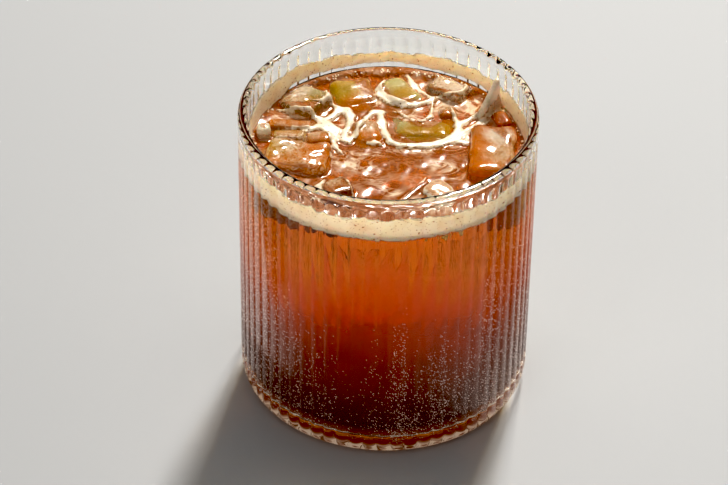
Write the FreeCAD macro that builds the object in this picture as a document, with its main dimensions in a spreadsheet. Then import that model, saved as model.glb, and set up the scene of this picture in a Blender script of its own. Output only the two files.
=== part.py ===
import FreeCAD, Part
import math
import os

import Sketcher

# Cold brew coffee over ice, with the ribbed glass tumbler that holds it.
# Millimetres, +Z up. The origin is at the middle of the glass's foot, on the surface it stands on.

FOLDER = "parts"
ROOT_POINT = (-1, 1)
HORIZONTAL_AXIS = -1
VERTICAL_AXIS = -2

# Driving sizes, in millimetres unless the note says otherwise.
SIZES = {
    # the glass
    "glass_height": 89.0,
    "rim_radius": 41.0,
    "wall": 2.05,
    "lip_round": 1.25,
    "lip_plain": 2.2,
    "lip_slope": 1.4,
    "rib_count": 66,
    "rib_depth": 0.55,
    "rib_overlap": 0.05,
    "rib_foot": 1.9,
    "heel_round": 2.4,
    "base_thick": 3.4,
    "corner_round": 5.0,
    "punt_radius": 30.0,
    "punt_rise": 0.8,
    # the drink
    "freeboard": 13.0,
    "foam_climb": 6.2,
    "foam_ripple": 0.8,
    "foam_thick": 1.0,
    "foam_edge": 0.45,
    "web_thick": 1.2,
    # the ice heap: its sizes and places below suit a cavity of this radius
    "heap_radius": 38.4,
    "melt_round": 1.7,
    "ice_taper": 3.0,
    "shard_thick": 1.8,
    "shard_length": 8.4,
    "shard_above": 10.8,
    "shard_below": 5.0,
    "shard_tip": 2.4,
    "shard_lean": 3.1,
    "shard_round": 0.5,
}

# Each lump of ice: middle x and y, the turn of its length about Z, length, width,
# how far it stands above the coffee and reaches below it, and its lean (degrees).
ICE = {
    "ice_chip": (-34.2, 5.4, 8, 3.9, 3.9, 3.4, 3.0, 6),
    "ice_back_left": (-23.1, 20.5, 48, 12.0, 11.0, 3.0, 12.0, -5),
    "ice_back_middle": (-9.7, 26.2, 15, 11.3, 11.0, 1.2, 13.0, 4),
    "ice_clear": (3.0, 27.0, -57, 12.2, 8.8, 1.6, 12.0, -4),
    "ice_back_right": (16.7, 27.0, -35, 11.2, 7.6, 3.2, 12.0, 5),
    "ice_red": (16.4, 17.0, 12, 5.0, 4.8, 2.0, 7.0, -8),
    "ice_olive": (9.6, 9.4, -3, 14.6, 7.4, 0.9, 12.0, 3),
    "ice_middle": (-5.6, 7.2, 14, 7.2, 9.4, 1.7, 12.0, 6),
    "ice_right": (28.2, -2.6, 85, 21.6, 11.8, 3.9, 14.0, -5),
    "ice_right_edge": (31.2, 13.0, -68, 6.4, 4.4, 2.6, 8.0, 6),
    "ice_bar_back": (-27.1, 9.9, -2, 11.4, 3.2, 1.9, 9.0, 3),
    "ice_bar_front": (-27.2, 5.4, -1, 8.8, 3.6, 1.6, 9.0, -4),
    "ice_left_small": (-18.9, 3.7, 4, 6.2, 4.8, 2.2, 8.0, 6),
    "ice_front_left": (-24.6, -5.4, -8, 16.6, 12.0, 3.3, 13.0, 4),
    "ice_left_edge": (-24.3, -17.7, -38, 11.6, 3.8, 1.4, 9.0, -3),
    "ice_front_dark": (-13.5, -18.6, 20, 7.8, 7.6, 2.6, 9.0, -6),
    "ice_front_plate": (6.9, -19.9, 52, 12.6, 1.5, 1.5, 6.0, 2),
    "ice_front_white": (13.9, -19.6, 50, 7.2, 7.0, 4.0, 10.0, 7),
}
ICE_FIELDS = ("x", "y", "turn", "length", "width", "above", "below", "lean")
SHARD_PLACE = (28.0, 17.2, 40)

# The foam web: routes of (x, y, width) for each strand that floats between the lumps.
WEB = [
    # the zigzag, from the left
    [(-21.4, 11.2, 1.6), (-17.6, 8.8, 2.6), (-15.3, 4.2, 2.2), (-13.0, -0.9, 1.2)],
    [(-17.4, 8.6, 1.4), (-15.4, 13.2, 2.0), (-12.4, 16.0, 2.2), (-10.3, 11.6, 1.8), (-11.6, 4.9, 1.8)],
    [(-12.2, 3.6, 2.6), (-9.8, 7.6, 1.4), (-6.4, 13.8, 1.5), (-2.8, 16.2, 1.8)],
    # the crescent, and its tail to the right-hand wall
    [(-2.4, 15.9, 1.4), (-0.7, 10.0, 2.0), (0.4, 6.2, 2.4), (3.4, 3.6, 2.4), (9.0, 2.5, 2.6)],
    [(8.8, 2.5, 2.2), (14.4, 3.0, 2.6), (18.4, 5.4, 2.4), (20.1, 9.6, 2.0), (19.9, 14.2, 1.2)],
    [(19.8, 8.0, 1.4), (22.2, 9.6, 1.4), (25.6, 12.2, 1.1), (28.6, 14.6, 1.0)],
    # in front of the clear lump at the back
    [(-4.6, 24.0, 1.2), (-2.4, 20.9, 1.8), (2.4, 18.7, 2.0), (7.4, 18.4, 1.8), (11.2, 20.4, 1.4)],
]


def make_sheet(doc):
    """The spreadsheet that holds every driving size under its own name."""
    sheet = doc.addObject("Spreadsheet::Sheet", "Sizes")
    values = dict(SIZES)
    for name, row in ICE.items():
        for field, value in zip(ICE_FIELDS, row):
            values[name + "_" + field] = value
    for field, value in zip(ICE_FIELDS, SHARD_PLACE):
        values["ice_shard_" + field] = value
    for row, (name, value) in enumerate(values.items(), start=1):
        sheet.set("A%d" % row, name)
        sheet.set("B%d" % row, str(value))
        sheet.setAlias("B%d" % row, name)
    doc.recompute()
    return sheet


class Measure:
    """Sizes worked out from the sheet, each as an expression and as its number."""

    def __init__(self, sheet):
        self.sheet = sheet

    def value(self, expression):
        """The number that an expression of the sheet's names gives."""
        result = self.sheet.evalExpression(expression)
        return float(getattr(result, "Value", result))

    def bind(self, thing, prop, expression):
        """Ties a property to an expression of the sheet's names."""
        thing.setExpression(prop, expression)


def cell(name):
    """A sheet value, as an expression."""
    return "Sizes." + name


VALLEY = "(Sizes.rim_radius - Sizes.rib_depth)"
CAVITY = "(Sizes.rim_radius - Sizes.rib_depth - Sizes.wall)"
HEIGHT = cell("glass_height")
LEVEL = "(Sizes.glass_height - Sizes.freeboard)"
HEAP_SCALE = "(%s / Sizes.heap_radius)" % CAVITY
LIP_FOOT = "(Sizes.glass_height - Sizes.lip_plain)"
RIB_TOP = "(Sizes.glass_height - Sizes.lip_plain - Sizes.lip_slope / 2)"
HALF_PITCH = "(%s * sin(180deg / Sizes.rib_count) + Sizes.rib_overlap)" % VALLEY
RIB_REACH = "(%s * cos(180deg / Sizes.rib_count))" % VALLEY
RIB_RISE = "(Sizes.rim_radius - %s)" % RIB_REACH
RIB_ROUND = "((%s ^ 2 + %s ^ 2) / (2 * %s))" % (HALF_PITCH, RIB_RISE, RIB_RISE)
PUNT_ROUND = "((Sizes.punt_radius ^ 2 + Sizes.punt_rise ^ 2) / (2 * Sizes.punt_rise))"


def origin_plane(body, role):
    """One of a body's own origin planes, such as XY_Plane."""
    for feature in body.Origin.OriginFeatures:
        if feature.Role == role:
            return feature
    raise RuntimeError("no plane " + role)


def new_sketch(body, role, name):
    """An empty sketch on one of the body's own origin planes."""
    sketch = body.newObject("Sketcher::SketchObject", name)
    sketch.AttachmentSupport = [(origin_plane(body, role), "")]
    sketch.MapMode = "FlatFace"
    return sketch


def pin_point(measure, sketch, geometry, end, place):
    """Fixes one end of an edge at a place given as two expressions."""
    for kind, axis, expression in (("DistanceX", VERTICAL_AXIS, place[0]),
                                   ("DistanceY", HORIZONTAL_AXIS, place[1])):
        number = measure.value(expression)
        if expression == "0":
            sketch.addConstraint(Sketcher.Constraint("PointOnObject", geometry, end, axis))
            continue
        index = sketch.addConstraint(
            Sketcher.Constraint(kind, ROOT_POINT[0], ROOT_POINT[1], geometry, end, number))
        measure.bind(sketch, "Constraints[%d]" % index, expression)


def arc_through(start, finish, radius, bulge):
    """The arc of that radius from start to finish that bends to the left (+1) or right (-1)."""
    middle = (start + finish) * 0.5
    chord = finish - start
    across = FreeCAD.Vector(-chord.y, chord.x, 0).normalize()
    away = math.sqrt(max(radius ** 2 - (chord.Length / 2) ** 2, 0.0))
    centre = middle - across * away * bulge
    crest = centre + across * radius * bulge
    return Part.Arc(start, crest, finish)


def closed_profile(measure, sketch, corners):
    """Draws a closed outline. Each corner is (x, y) or (x, y, radius, bulge), where the last two
    make the edge to the next corner an arc."""
    points = [FreeCAD.Vector(measure.value(c[0]), measure.value(c[1]), 0) for c in corners]
    count = len(corners)
    edges = []
    for i, corner in enumerate(corners):
        start = points[i]
        finish = points[(i + 1) % count]
        if len(corner) == 2:
            edges.append(sketch.addGeometry(Part.LineSegment(start, finish)))
            continue
        radius = measure.value(corner[2])
        arc = arc_through(start, finish, radius, corner[3])
        edges.append(sketch.addGeometry(arc))
    ends = [edge_ends(sketch, edge, points[i]) for i, edge in enumerate(edges)]
    for i, edge in enumerate(edges):
        after = (i + 1) % count
        sketch.addConstraint(
            Sketcher.Constraint("Coincident", edge, ends[i][1], edges[after], ends[after][0]))
    for i, edge in enumerate(edges):
        pin_point(measure, sketch, edge, ends[i][0], corners[i][:2])
        if len(corners[i]) > 2:
            index = sketch.addConstraint(
                Sketcher.Constraint("Radius", edge, measure.value(corners[i][2])))
            measure.bind(sketch, "Constraints[%d]" % index, corners[i][2])


def edge_ends(sketch, edge, start):
    """Which end of a drawn edge is its start and which its finish, because an arc may run backwards."""
    first = sketch.getPoint(edge, 1)
    return (1, 2) if first.distanceToPoint(start) < 1e-6 else (2, 1)


def revolve(body, sketch, name):
    """A full turn of a sketch about the Z axis."""
    feature = body.newObject("PartDesign::Revolution", name)
    feature.Profile = sketch
    feature.ReferenceAxis = (sketch, ["V_Axis"])
    feature.Angle = 360.0
    return feature


def new_body(doc, name):
    """A body whose label names its sub-part."""
    body = doc.addObject("PartDesign::Body", name)
    body.Label = name
    return body


def make_glass(doc, measure):
    """The tumbler: a turned blank, one rib copied round it, rounded rib feet, and its cavity."""
    body = new_body(doc, "glass_tumbler")

    blank = new_sketch(body, "XZ_Plane", "glass_blank")
    closed_profile(measure, blank, [
        ("0", cell("punt_rise"), PUNT_ROUND, 1),
        (cell("punt_radius"), "0"),
        ("%s - Sizes.heel_round" % VALLEY, "0", cell("heel_round"), -1),
        (VALLEY, cell("heel_round")),
        (VALLEY, "%s - Sizes.lip_slope" % LIP_FOOT),
        (cell("rim_radius"), LIP_FOOT),
        (cell("rim_radius"), "%s - Sizes.lip_round" % HEIGHT, cell("lip_round"), -1),
        ("Sizes.rim_radius - Sizes.lip_round", HEIGHT),
        ("%s + Sizes.lip_round" % CAVITY, HEIGHT, cell("lip_round"), -1),
        (CAVITY, "%s - Sizes.lip_round" % HEIGHT),
        (CAVITY, "Sizes.base_thick + Sizes.corner_round", cell("corner_round"), 1),
        ("%s - Sizes.corner_round" % CAVITY, cell("base_thick")),
        ("0", cell("base_thick")),
    ])
    revolve(body, blank, "glass_turned")

    rib = new_sketch(body, "XY_Plane", "rib_outline")
    inner = "(%s - Sizes.wall / 2)" % VALLEY
    closed_profile(measure, rib, [
        (inner, "-" + HALF_PITCH),
        (RIB_REACH, "-" + HALF_PITCH, RIB_ROUND, -1),
        (RIB_REACH, HALF_PITCH),
        (inner, HALF_PITCH),
    ])
    pad = body.newObject("PartDesign::Pad", "rib")
    pad.Profile = rib
    measure.bind(pad, "Length", RIB_TOP)
    pad.Reversed = False

    ribs = body.newObject("PartDesign::PolarPattern", "ribs")
    ribs.Originals = [pad]
    ribs.Axis = (rib, ["N_Axis"])
    ribs.Angle = 360.0
    measure.bind(ribs, "Occurrences", cell("rib_count"))
    body.Tip = ribs
    doc.recompute()
    before = body.Shape.Volume

    trim = new_sketch(body, "XZ_Plane", "rib_feet_outline")
    outside = "(Sizes.rim_radius + Sizes.wall)"
    closed_profile(measure, trim, [
        ("%s - Sizes.heel_round" % VALLEY, "0", cell("heel_round"), -1),
        (VALLEY, cell("heel_round")),
        (cell("rim_radius"), "Sizes.heel_round + Sizes.rib_foot"),
        (outside, "Sizes.heel_round + Sizes.rib_foot"),
        (outside, "-Sizes.wall"),
        ("%s - Sizes.heel_round" % VALLEY, "-Sizes.wall"),
    ])
    groove = body.newObject("PartDesign::Groove", "rib_feet")
    groove.Profile = trim
    groove.ReferenceAxis = (trim, ["V_Axis"])
    groove.Angle = 360.0
    body.Tip = groove
    doc.recompute()
    if not body.Shape.Volume < before:
        raise RuntimeError("the groove at the ribs' feet cuts nothing")
    return body


def make_ice(doc, measure, name):
    """One lump of ice: a tapered block with melted edges, turned and leaning, part way out of the coffee."""
    body = new_body(doc, name)
    outline = new_sketch(body, "XY_Plane", name + "_outline")
    half_length = "(Sizes.%s_length * %s / 2)" % (name, HEAP_SCALE)
    half_width = "(Sizes.%s_width * %s / 2)" % (name, HEAP_SCALE)
    closed_profile(measure, outline, [
        ("-" + half_length, "-" + half_width),
        (half_length, "-" + half_width),
        (half_length, half_width),
        ("-" + half_length, half_width),
    ])
    block = body.newObject("PartDesign::Pad", name + "_block")
    block.Profile = outline
    measure.bind(block, "Length", "Sizes.%s_above + Sizes.%s_below" % (name, name))
    measure.bind(block, "TaperAngle", "-Sizes.ice_taper * 1deg")
    block.Reversed = True
    doc.recompute()

    melt = body.newObject("PartDesign::Fillet", name + "_melt")
    melt.Base = (block, [""])
    melt.UseAllEdges = True
    drawn_in = "((Sizes.%s_above + Sizes.%s_below) * tan(Sizes.ice_taper * 1deg))" % (name, name)
    narrow = "(min(%s; %s) - %s)" % (half_width, half_length, drawn_in)
    measure.bind(melt, "Radius", "min(Sizes.melt_round * %s; %s * 0.7)" % (HEAP_SCALE, narrow))
    body.Tip = melt

    turn = FreeCAD.Rotation(FreeCAD.Vector(0, 0, 1), measure.value("Sizes.%s_turn" % name))
    lean = FreeCAD.Rotation(FreeCAD.Vector(1, 0, 0), measure.value("Sizes.%s_lean" % name))
    body.Placement.Rotation = turn.multiply(lean)
    measure.bind(body, ".Placement.Base.x", "Sizes.%s_x * %s" % (name, HEAP_SCALE))
    measure.bind(body, ".Placement.Base.y", "Sizes.%s_y * %s" % (name, HEAP_SCALE))
    measure.bind(body, ".Placement.Base.z", "%s + Sizes.%s_above" % (LEVEL, name))
    return body


def make_shard(doc, measure):
    """The thin shard that stands on end at the wall, its tip leaning outwards."""
    body = new_body(doc, "ice_shard")
    outline = new_sketch(body, "XZ_Plane", "shard_outline")
    half = "(Sizes.shard_length * %s / 2)" % HEAP_SCALE
    closed_profile(measure, outline, [
        ("-" + half, "-Sizes.shard_below"),
        (half, "-Sizes.shard_below"),
        (half, cell("shard_tip")),
        (cell("shard_lean"), cell("shard_above")),
        ("Sizes.shard_lean - Sizes.shard_round", cell("shard_above")),
        ("-" + half, "Sizes.shard_tip / 2"),
    ])
    plate = body.newObject("PartDesign::Pad", "shard_plate")
    plate.Profile = outline
    measure.bind(plate, "Length", cell("shard_thick"))
    plate.Midplane = True
    doc.recompute()
    melt = body.newObject("PartDesign::Fillet", "shard_melt")
    melt.Base = (plate, [""])
    melt.UseAllEdges = True
    measure.bind(melt, "Radius", "Sizes.shard_round * 0.4")
    body.Tip = melt
    body.Placement.Rotation = FreeCAD.Rotation(
        FreeCAD.Vector(0, 0, 1), measure.value(cell("ice_shard_turn")))
    measure.bind(body, ".Placement.Base.x", "Sizes.ice_shard_x * " + HEAP_SCALE)
    measure.bind(body, ".Placement.Base.y", "Sizes.ice_shard_y * " + HEAP_SCALE)
    measure.bind(body, ".Placement.Base.z", LEVEL)
    return body


def make_coffee(doc, measure, lumps):
    """The drink: what fills the cavity up to its level, cut round every lump of ice."""
    fill = new_body(doc, "coffee_fill")
    outline = new_sketch(fill, "XZ_Plane", "coffee_outline")
    closed_profile(measure, outline, [
        ("0", cell("base_thick")),
        ("%s - Sizes.corner_round" % CAVITY, cell("base_thick"), cell("corner_round"), -1),
        (CAVITY, "Sizes.base_thick + Sizes.corner_round"),
        (CAVITY, LEVEL),
        ("0", LEVEL),
    ])
    revolve(fill, outline, "coffee_turned")
    heap = doc.addObject("Part::MultiFuse", "ice_heap")
    heap.Shapes = lumps
    coffee = doc.addObject("Part::Cut", "coffee")
    coffee.Label = "coffee"
    coffee.Base = fill
    coffee.Tool = heap
    return coffee, heap


def ripple(angle):
    """How far the foam's edge rises (+1) or drops (-1) at an angle round the glass."""
    return (math.sin(3 * angle + 0.7) + 0.6 * math.sin(7 * angle + 2.1) + 0.4 * math.sin(13 * angle)) / 2


def make_foam_ring(doc, measure):
    """The foam that clings to the wall above the coffee, thinner at its uneven upper edge."""
    sections = 72
    cavity = measure.value(CAVITY)
    level = measure.value(LEVEL)
    climb = measure.value(cell("foam_climb"))
    swing = measure.value(cell("foam_ripple"))
    foot = cavity - measure.value(cell("foam_thick"))
    edge = cavity - measure.value(cell("foam_edge"))
    beyond = cavity + measure.value(cell("wall")) / 2
    wires = []
    for i in range(sections):
        angle = 2 * math.pi * i / sections
        top = level + climb + swing * ripple(angle)
        outline = [(beyond, level), (beyond, top), (edge, top), (foot, level)]
        corners = [FreeCAD.Vector(r * math.cos(angle), r * math.sin(angle), z) for r, z in outline]
        wires.append(Part.makePolygon(corners + corners[:1]))
    band = doc.addObject("Part::Feature", "foam_band")
    band.Shape = Part.makeLoft(wires, True, True, True)
    bore = doc.addObject("Part::Cylinder", "foam_reach")
    measure.bind(bore, "Radius", CAVITY)
    measure.bind(bore, "Height", HEIGHT)
    ring = doc.addObject("Part::Common", "foam_ring")
    ring.Label = "foam_ring"
    ring.Base = band
    ring.Tool = bore
    return ring


def strand(route, scale, level, thick):
    """One flat strand of foam along a smooth route, with its own width at each point and round ends."""
    points = [FreeCAD.Vector(x * scale, y * scale, level) for x, y, width in route]
    line = Part.BSplineCurve()
    line.interpolate(points)
    sides = ([], [])
    for point, (x, y, width) in zip(points, route):
        along = FreeCAD.Vector(*line.tangent(line.parameter(point))[0])
        across = FreeCAD.Vector(-along.y, along.x, 0).normalize() * (width * scale / 2)
        sides[0].append(point + across)
        sides[1].append(point - across)
    edges = []
    for side in (sides[0], sides[1][::-1]):
        curve = Part.BSplineCurve()
        curve.interpolate(side)
        edges.append(curve.toShape())
    first_end = points[-1] + tangent_out(line, 1) * (route[-1][2] * scale / 2)
    last_end = points[0] - tangent_out(line, 0) * (route[0][2] * scale / 2)
    edges.insert(1, Part.Arc(sides[0][-1], first_end, sides[1][-1]).toShape())
    edges.append(Part.Arc(sides[1][0], last_end, sides[0][0]).toShape())
    face = Part.Face(Part.Wire(edges))
    return face.extrude(FreeCAD.Vector(0, 0, thick))


def tangent_out(line, end):
    """The direction of a curve at its first (0) or last (1) point."""
    parameter = line.LastParameter if end else line.FirstParameter
    return FreeCAD.Vector(*line.tangent(parameter)[0]).normalize()


def make_foam_web(doc, measure, heap):
    """The floating foam: its strands joined, and cut back where ice stands in them."""
    scale = measure.value(HEAP_SCALE)
    level = measure.value(LEVEL)
    thick = measure.value(cell("web_thick"))
    strands = [strand(route, scale, level, thick) for route in WEB]
    joined = doc.addObject("Part::Feature", "foam_strands")
    joined.Shape = strands[0].multiFuse(strands[1:])
    web = doc.addObject("Part::Cut", "foam_web")
    web.Label = "foam_web"
    web.Base = joined
    web.Tool = heap
    return web


def check_document(doc, parts):
    """Stops if any object failed, or if a sub-part's shape is empty or broken."""
    for thing in doc.Objects:
        if "Invalid" in thing.State or "Error" in thing.State:
            raise RuntimeError("%s failed: %s" % (thing.Name, thing.State))
    for part in parts:
        if part.Shape.isNull() or not part.Shape.isValid() or not part.Shape.Solids:
            raise RuntimeError("%s has no valid solid" % part.Label)


def main():
    doc = FreeCAD.newDocument("cold_brew")
    measure = Measure(make_sheet(doc))
    glass = make_glass(doc, measure)
    lumps = [make_ice(doc, measure, name) for name in ICE]
    lumps.append(make_shard(doc, measure))
    doc.recompute()
    coffee, heap = make_coffee(doc, measure, lumps)
    ring = make_foam_ring(doc, measure)
    doc.recompute()
    web = make_foam_web(doc, measure, heap)
    doc.recompute()
    parts = [glass, coffee, ring, web] + lumps
    check_document(doc, parts)
    os.makedirs(FOLDER, exist_ok=True)
    for part in parts:
        part.Shape.exportStep(os.path.join(FOLDER, part.Label + ".step"))
        print("%-18s %2d solids %10.1f mm3" % (part.Label, len(part.Shape.Solids), part.Shape.Volume))


main()
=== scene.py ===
import logging
import math
import random
from dataclasses import dataclass
from enum import Enum
from typing import Callable, Sequence

import bpy
import numpy as np
from mathutils import Matrix, Vector
from mathutils.bvhtree import BVHTree


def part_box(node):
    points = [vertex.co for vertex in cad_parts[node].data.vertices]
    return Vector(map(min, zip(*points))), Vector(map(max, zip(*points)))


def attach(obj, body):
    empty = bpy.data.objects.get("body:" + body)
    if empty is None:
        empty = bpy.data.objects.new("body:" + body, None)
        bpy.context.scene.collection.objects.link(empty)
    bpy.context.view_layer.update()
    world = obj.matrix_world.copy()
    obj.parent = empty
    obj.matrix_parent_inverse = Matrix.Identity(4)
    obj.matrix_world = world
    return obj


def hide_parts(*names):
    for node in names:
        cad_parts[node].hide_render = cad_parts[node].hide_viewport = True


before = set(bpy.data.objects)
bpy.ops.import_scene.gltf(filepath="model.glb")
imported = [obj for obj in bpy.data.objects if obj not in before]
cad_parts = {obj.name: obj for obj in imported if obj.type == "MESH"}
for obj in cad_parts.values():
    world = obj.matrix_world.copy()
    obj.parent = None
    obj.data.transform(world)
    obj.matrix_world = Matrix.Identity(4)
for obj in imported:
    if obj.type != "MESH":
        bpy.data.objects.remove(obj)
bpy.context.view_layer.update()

log = logging.getLogger("cold_brew")

MM = 0.001
WATER_IOR = 1.33
GLASS_IOR = 1.5
Colour = tuple[float, float, float]
Profile = list[tuple[float, float]]


# ---------------------------------------------------------------- modelling by hand


def select_only(*pieces: bpy.types.Object) -> None:
    """Selects these pieces and nothing else, the first one active.

    Args:
        pieces: the objects to select.
    """
    bpy.ops.object.select_all(action="DESELECT")
    for piece in pieces:
        piece.select_set(True)
    bpy.context.view_layer.objects.active = pieces[0]


def in_edit_mode(piece: bpy.types.Object, work: Callable[[], None]) -> None:
    """Runs edit-mode work on a piece with all of it selected.

    Args:
        piece: the object to edit.
        work: calls bpy.ops.mesh operators.
    """
    select_only(piece)
    bpy.ops.object.mode_set(mode="EDIT")
    bpy.ops.mesh.select_all(action="SELECT")
    work()
    bpy.ops.object.mode_set(mode="OBJECT")


def clean_shell(piece: bpy.types.Object, gap: float = 1e-6) -> None:
    """Merges doubled points and turns every face outwards.

    Args:
        piece: a closed mesh.
        gap: points nearer than this are merged, in metres.
    """

    def work() -> None:
        """Edit-mode steps."""
        bpy.ops.mesh.remove_doubles(threshold=gap)
        bpy.ops.mesh.normals_make_consistent(inside=False)

    in_edit_mode(piece, work)


def apply_modifier(piece: bpy.types.Object, kind: str, **settings: object) -> None:
    """Adds a modifier and applies it.

    Args:
        piece: the object.
        kind: the modifier's type.
        settings: the modifier's own settings.
    """
    select_only(piece)
    modifier = piece.modifiers.new(kind.lower(), kind)
    for key, value in settings.items():
        setattr(modifier, key, value)
    bpy.ops.object.modifier_apply(modifier=modifier.name)


def points_of(piece: bpy.types.Object) -> np.ndarray:
    """The piece's points as an array of x, y, z rows, in metres."""
    points = np.zeros(len(piece.data.vertices) * 3)
    piece.data.vertices.foreach_get("co", points)
    return points.reshape(-1, 3)


def polar(points: np.ndarray) -> tuple[np.ndarray, np.ndarray]:
    """How far each point is from the axis, and its angle round it in radians."""
    return np.hypot(points[:, 0], points[:, 1]), np.arctan2(points[:, 1], points[:, 0])


def set_points(piece: bpy.types.Object, points: np.ndarray) -> None:
    """Puts changed points back into the piece."""
    piece.data.vertices.foreach_set("co", points.ravel())
    piece.data.update()


def smooth_shade(*pieces: bpy.types.Object) -> None:
    """Shades pieces smooth."""
    select_only(*pieces)
    bpy.ops.object.shade_smooth()


def turned(name: str, profile: Profile, steps: int, closed: bool = True) -> bpy.types.Object:
    """A piece turned on a lathe: its outline is extruded point by point and spun about Z.

    Args:
        name: the piece's name.
        profile: (radius, height) corners in millimetres.
        steps: how many steps a full turn has.
        closed: whether the last corner joins the first, as in a ring.

    Returns:
        The turned object, closed, with its faces outwards.
    """
    corners = [Vector((r * MM, 0.0, z * MM)) for r, z in profile]
    if closed:
        corners.append(corners[0].copy())
    bpy.ops.object.select_all(action="DESELECT")
    bpy.ops.mesh.primitive_plane_add(size=MM, location=(0, 0, 0))
    piece = bpy.context.object
    piece.name = name
    piece.data.name = name

    def work() -> None:
        """Edit-mode steps."""
        bpy.ops.mesh.merge(type="CENTER")
        bpy.ops.transform.translate(value=corners[0])
        for before, after in zip(corners, corners[1:]):
            bpy.ops.mesh.extrude_vertices_move(TRANSFORM_OT_translate={"value": after - before})
        bpy.ops.mesh.select_all(action="SELECT")
        bpy.ops.mesh.spin(steps=steps, angle=2 * math.pi, center=(0, 0, 0), axis=(0, 0, 1))

    in_edit_mode(piece, work)
    clean_shell(piece)
    smooth_shade(piece)
    return piece


def corner_round(centre: tuple[float, float], radius: float, start: float, end: float,
                 parts: int) -> Profile:
    """The points of a round corner of a profile.

    Args:
        centre: (radius, height) of the round's centre, in millimetres.
        radius: its radius in millimetres.
        start: the first point's angle in degrees from the outward direction.
        end: the last point's angle.
        parts: how many steps it has.

    Returns:
        parts + 1 corners.
    """
    angles = np.radians(np.linspace(start, end, parts + 1))
    return [(centre[0] + radius * math.cos(a), centre[1] + radius * math.sin(a)) for a in angles]


def waves(x: np.ndarray, y: np.ndarray, sizes: Sequence[tuple[float, float, float]]) -> np.ndarray:
    """A sum of plane waves.

    Args:
        x: places across, in millimetres.
        y: places along, in millimetres.
        sizes: (length in millimetres, direction in degrees, height) of each wave.

    Returns:
        The height at each place.
    """
    total = np.zeros_like(x)
    for length, direction, height in sizes:
        turn = math.radians(direction)
        along = x * math.cos(turn) + y * math.sin(turn)
        total += height * np.sin(2 * math.pi * along / length + direction)
    return total


def copy_of_block(node: str, name: str) -> bpy.types.Object:
    """A clean copy of a node's plain solid, to be shaped further.

    Args:
        node: the node's name.
        name: the copy's name.

    Returns:
        The copy, with no material.
    """
    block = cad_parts[node]
    piece = block.copy()
    piece.data = block.data.copy()
    piece.name = name
    piece.data.name = name
    piece.data.materials.clear()
    for key in list(piece.keys()):
        del piece[key]
    piece.parent = None
    bpy.context.scene.collection.objects.link(piece)
    clean_shell(piece, 0.01 * MM)
    return piece


def cloud_texture(name: str, size: float, depth: int) -> bpy.types.Texture:
    """A cloudy texture to displace with.

    Args:
        name: its name.
        size: the clouds' size in millimetres.
        depth: how many finer layers it has.

    Returns:
        The texture.
    """
    clouds = bpy.data.textures.new(name, "CLOUDS")
    clouds.noise_scale = size * MM
    clouds.noise_depth = depth
    return clouds


def add_mask(piece: bpy.types.Object, name: str, values: np.ndarray) -> None:
    """Keeps one number per point with the piece, for its finish to read."""
    layer = piece.data.attributes.new(name, "FLOAT", "POINT")
    layer.data.foreach_set("value", values.astype(float))


def ease(values: np.ndarray) -> np.ndarray:
    """Eases values from 0 to 1, flat at both ends."""
    share = np.clip(values, 0, 1)
    return share * share * (3 - 2 * share)


# ---------------------------------------------------------------- finishes


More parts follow.
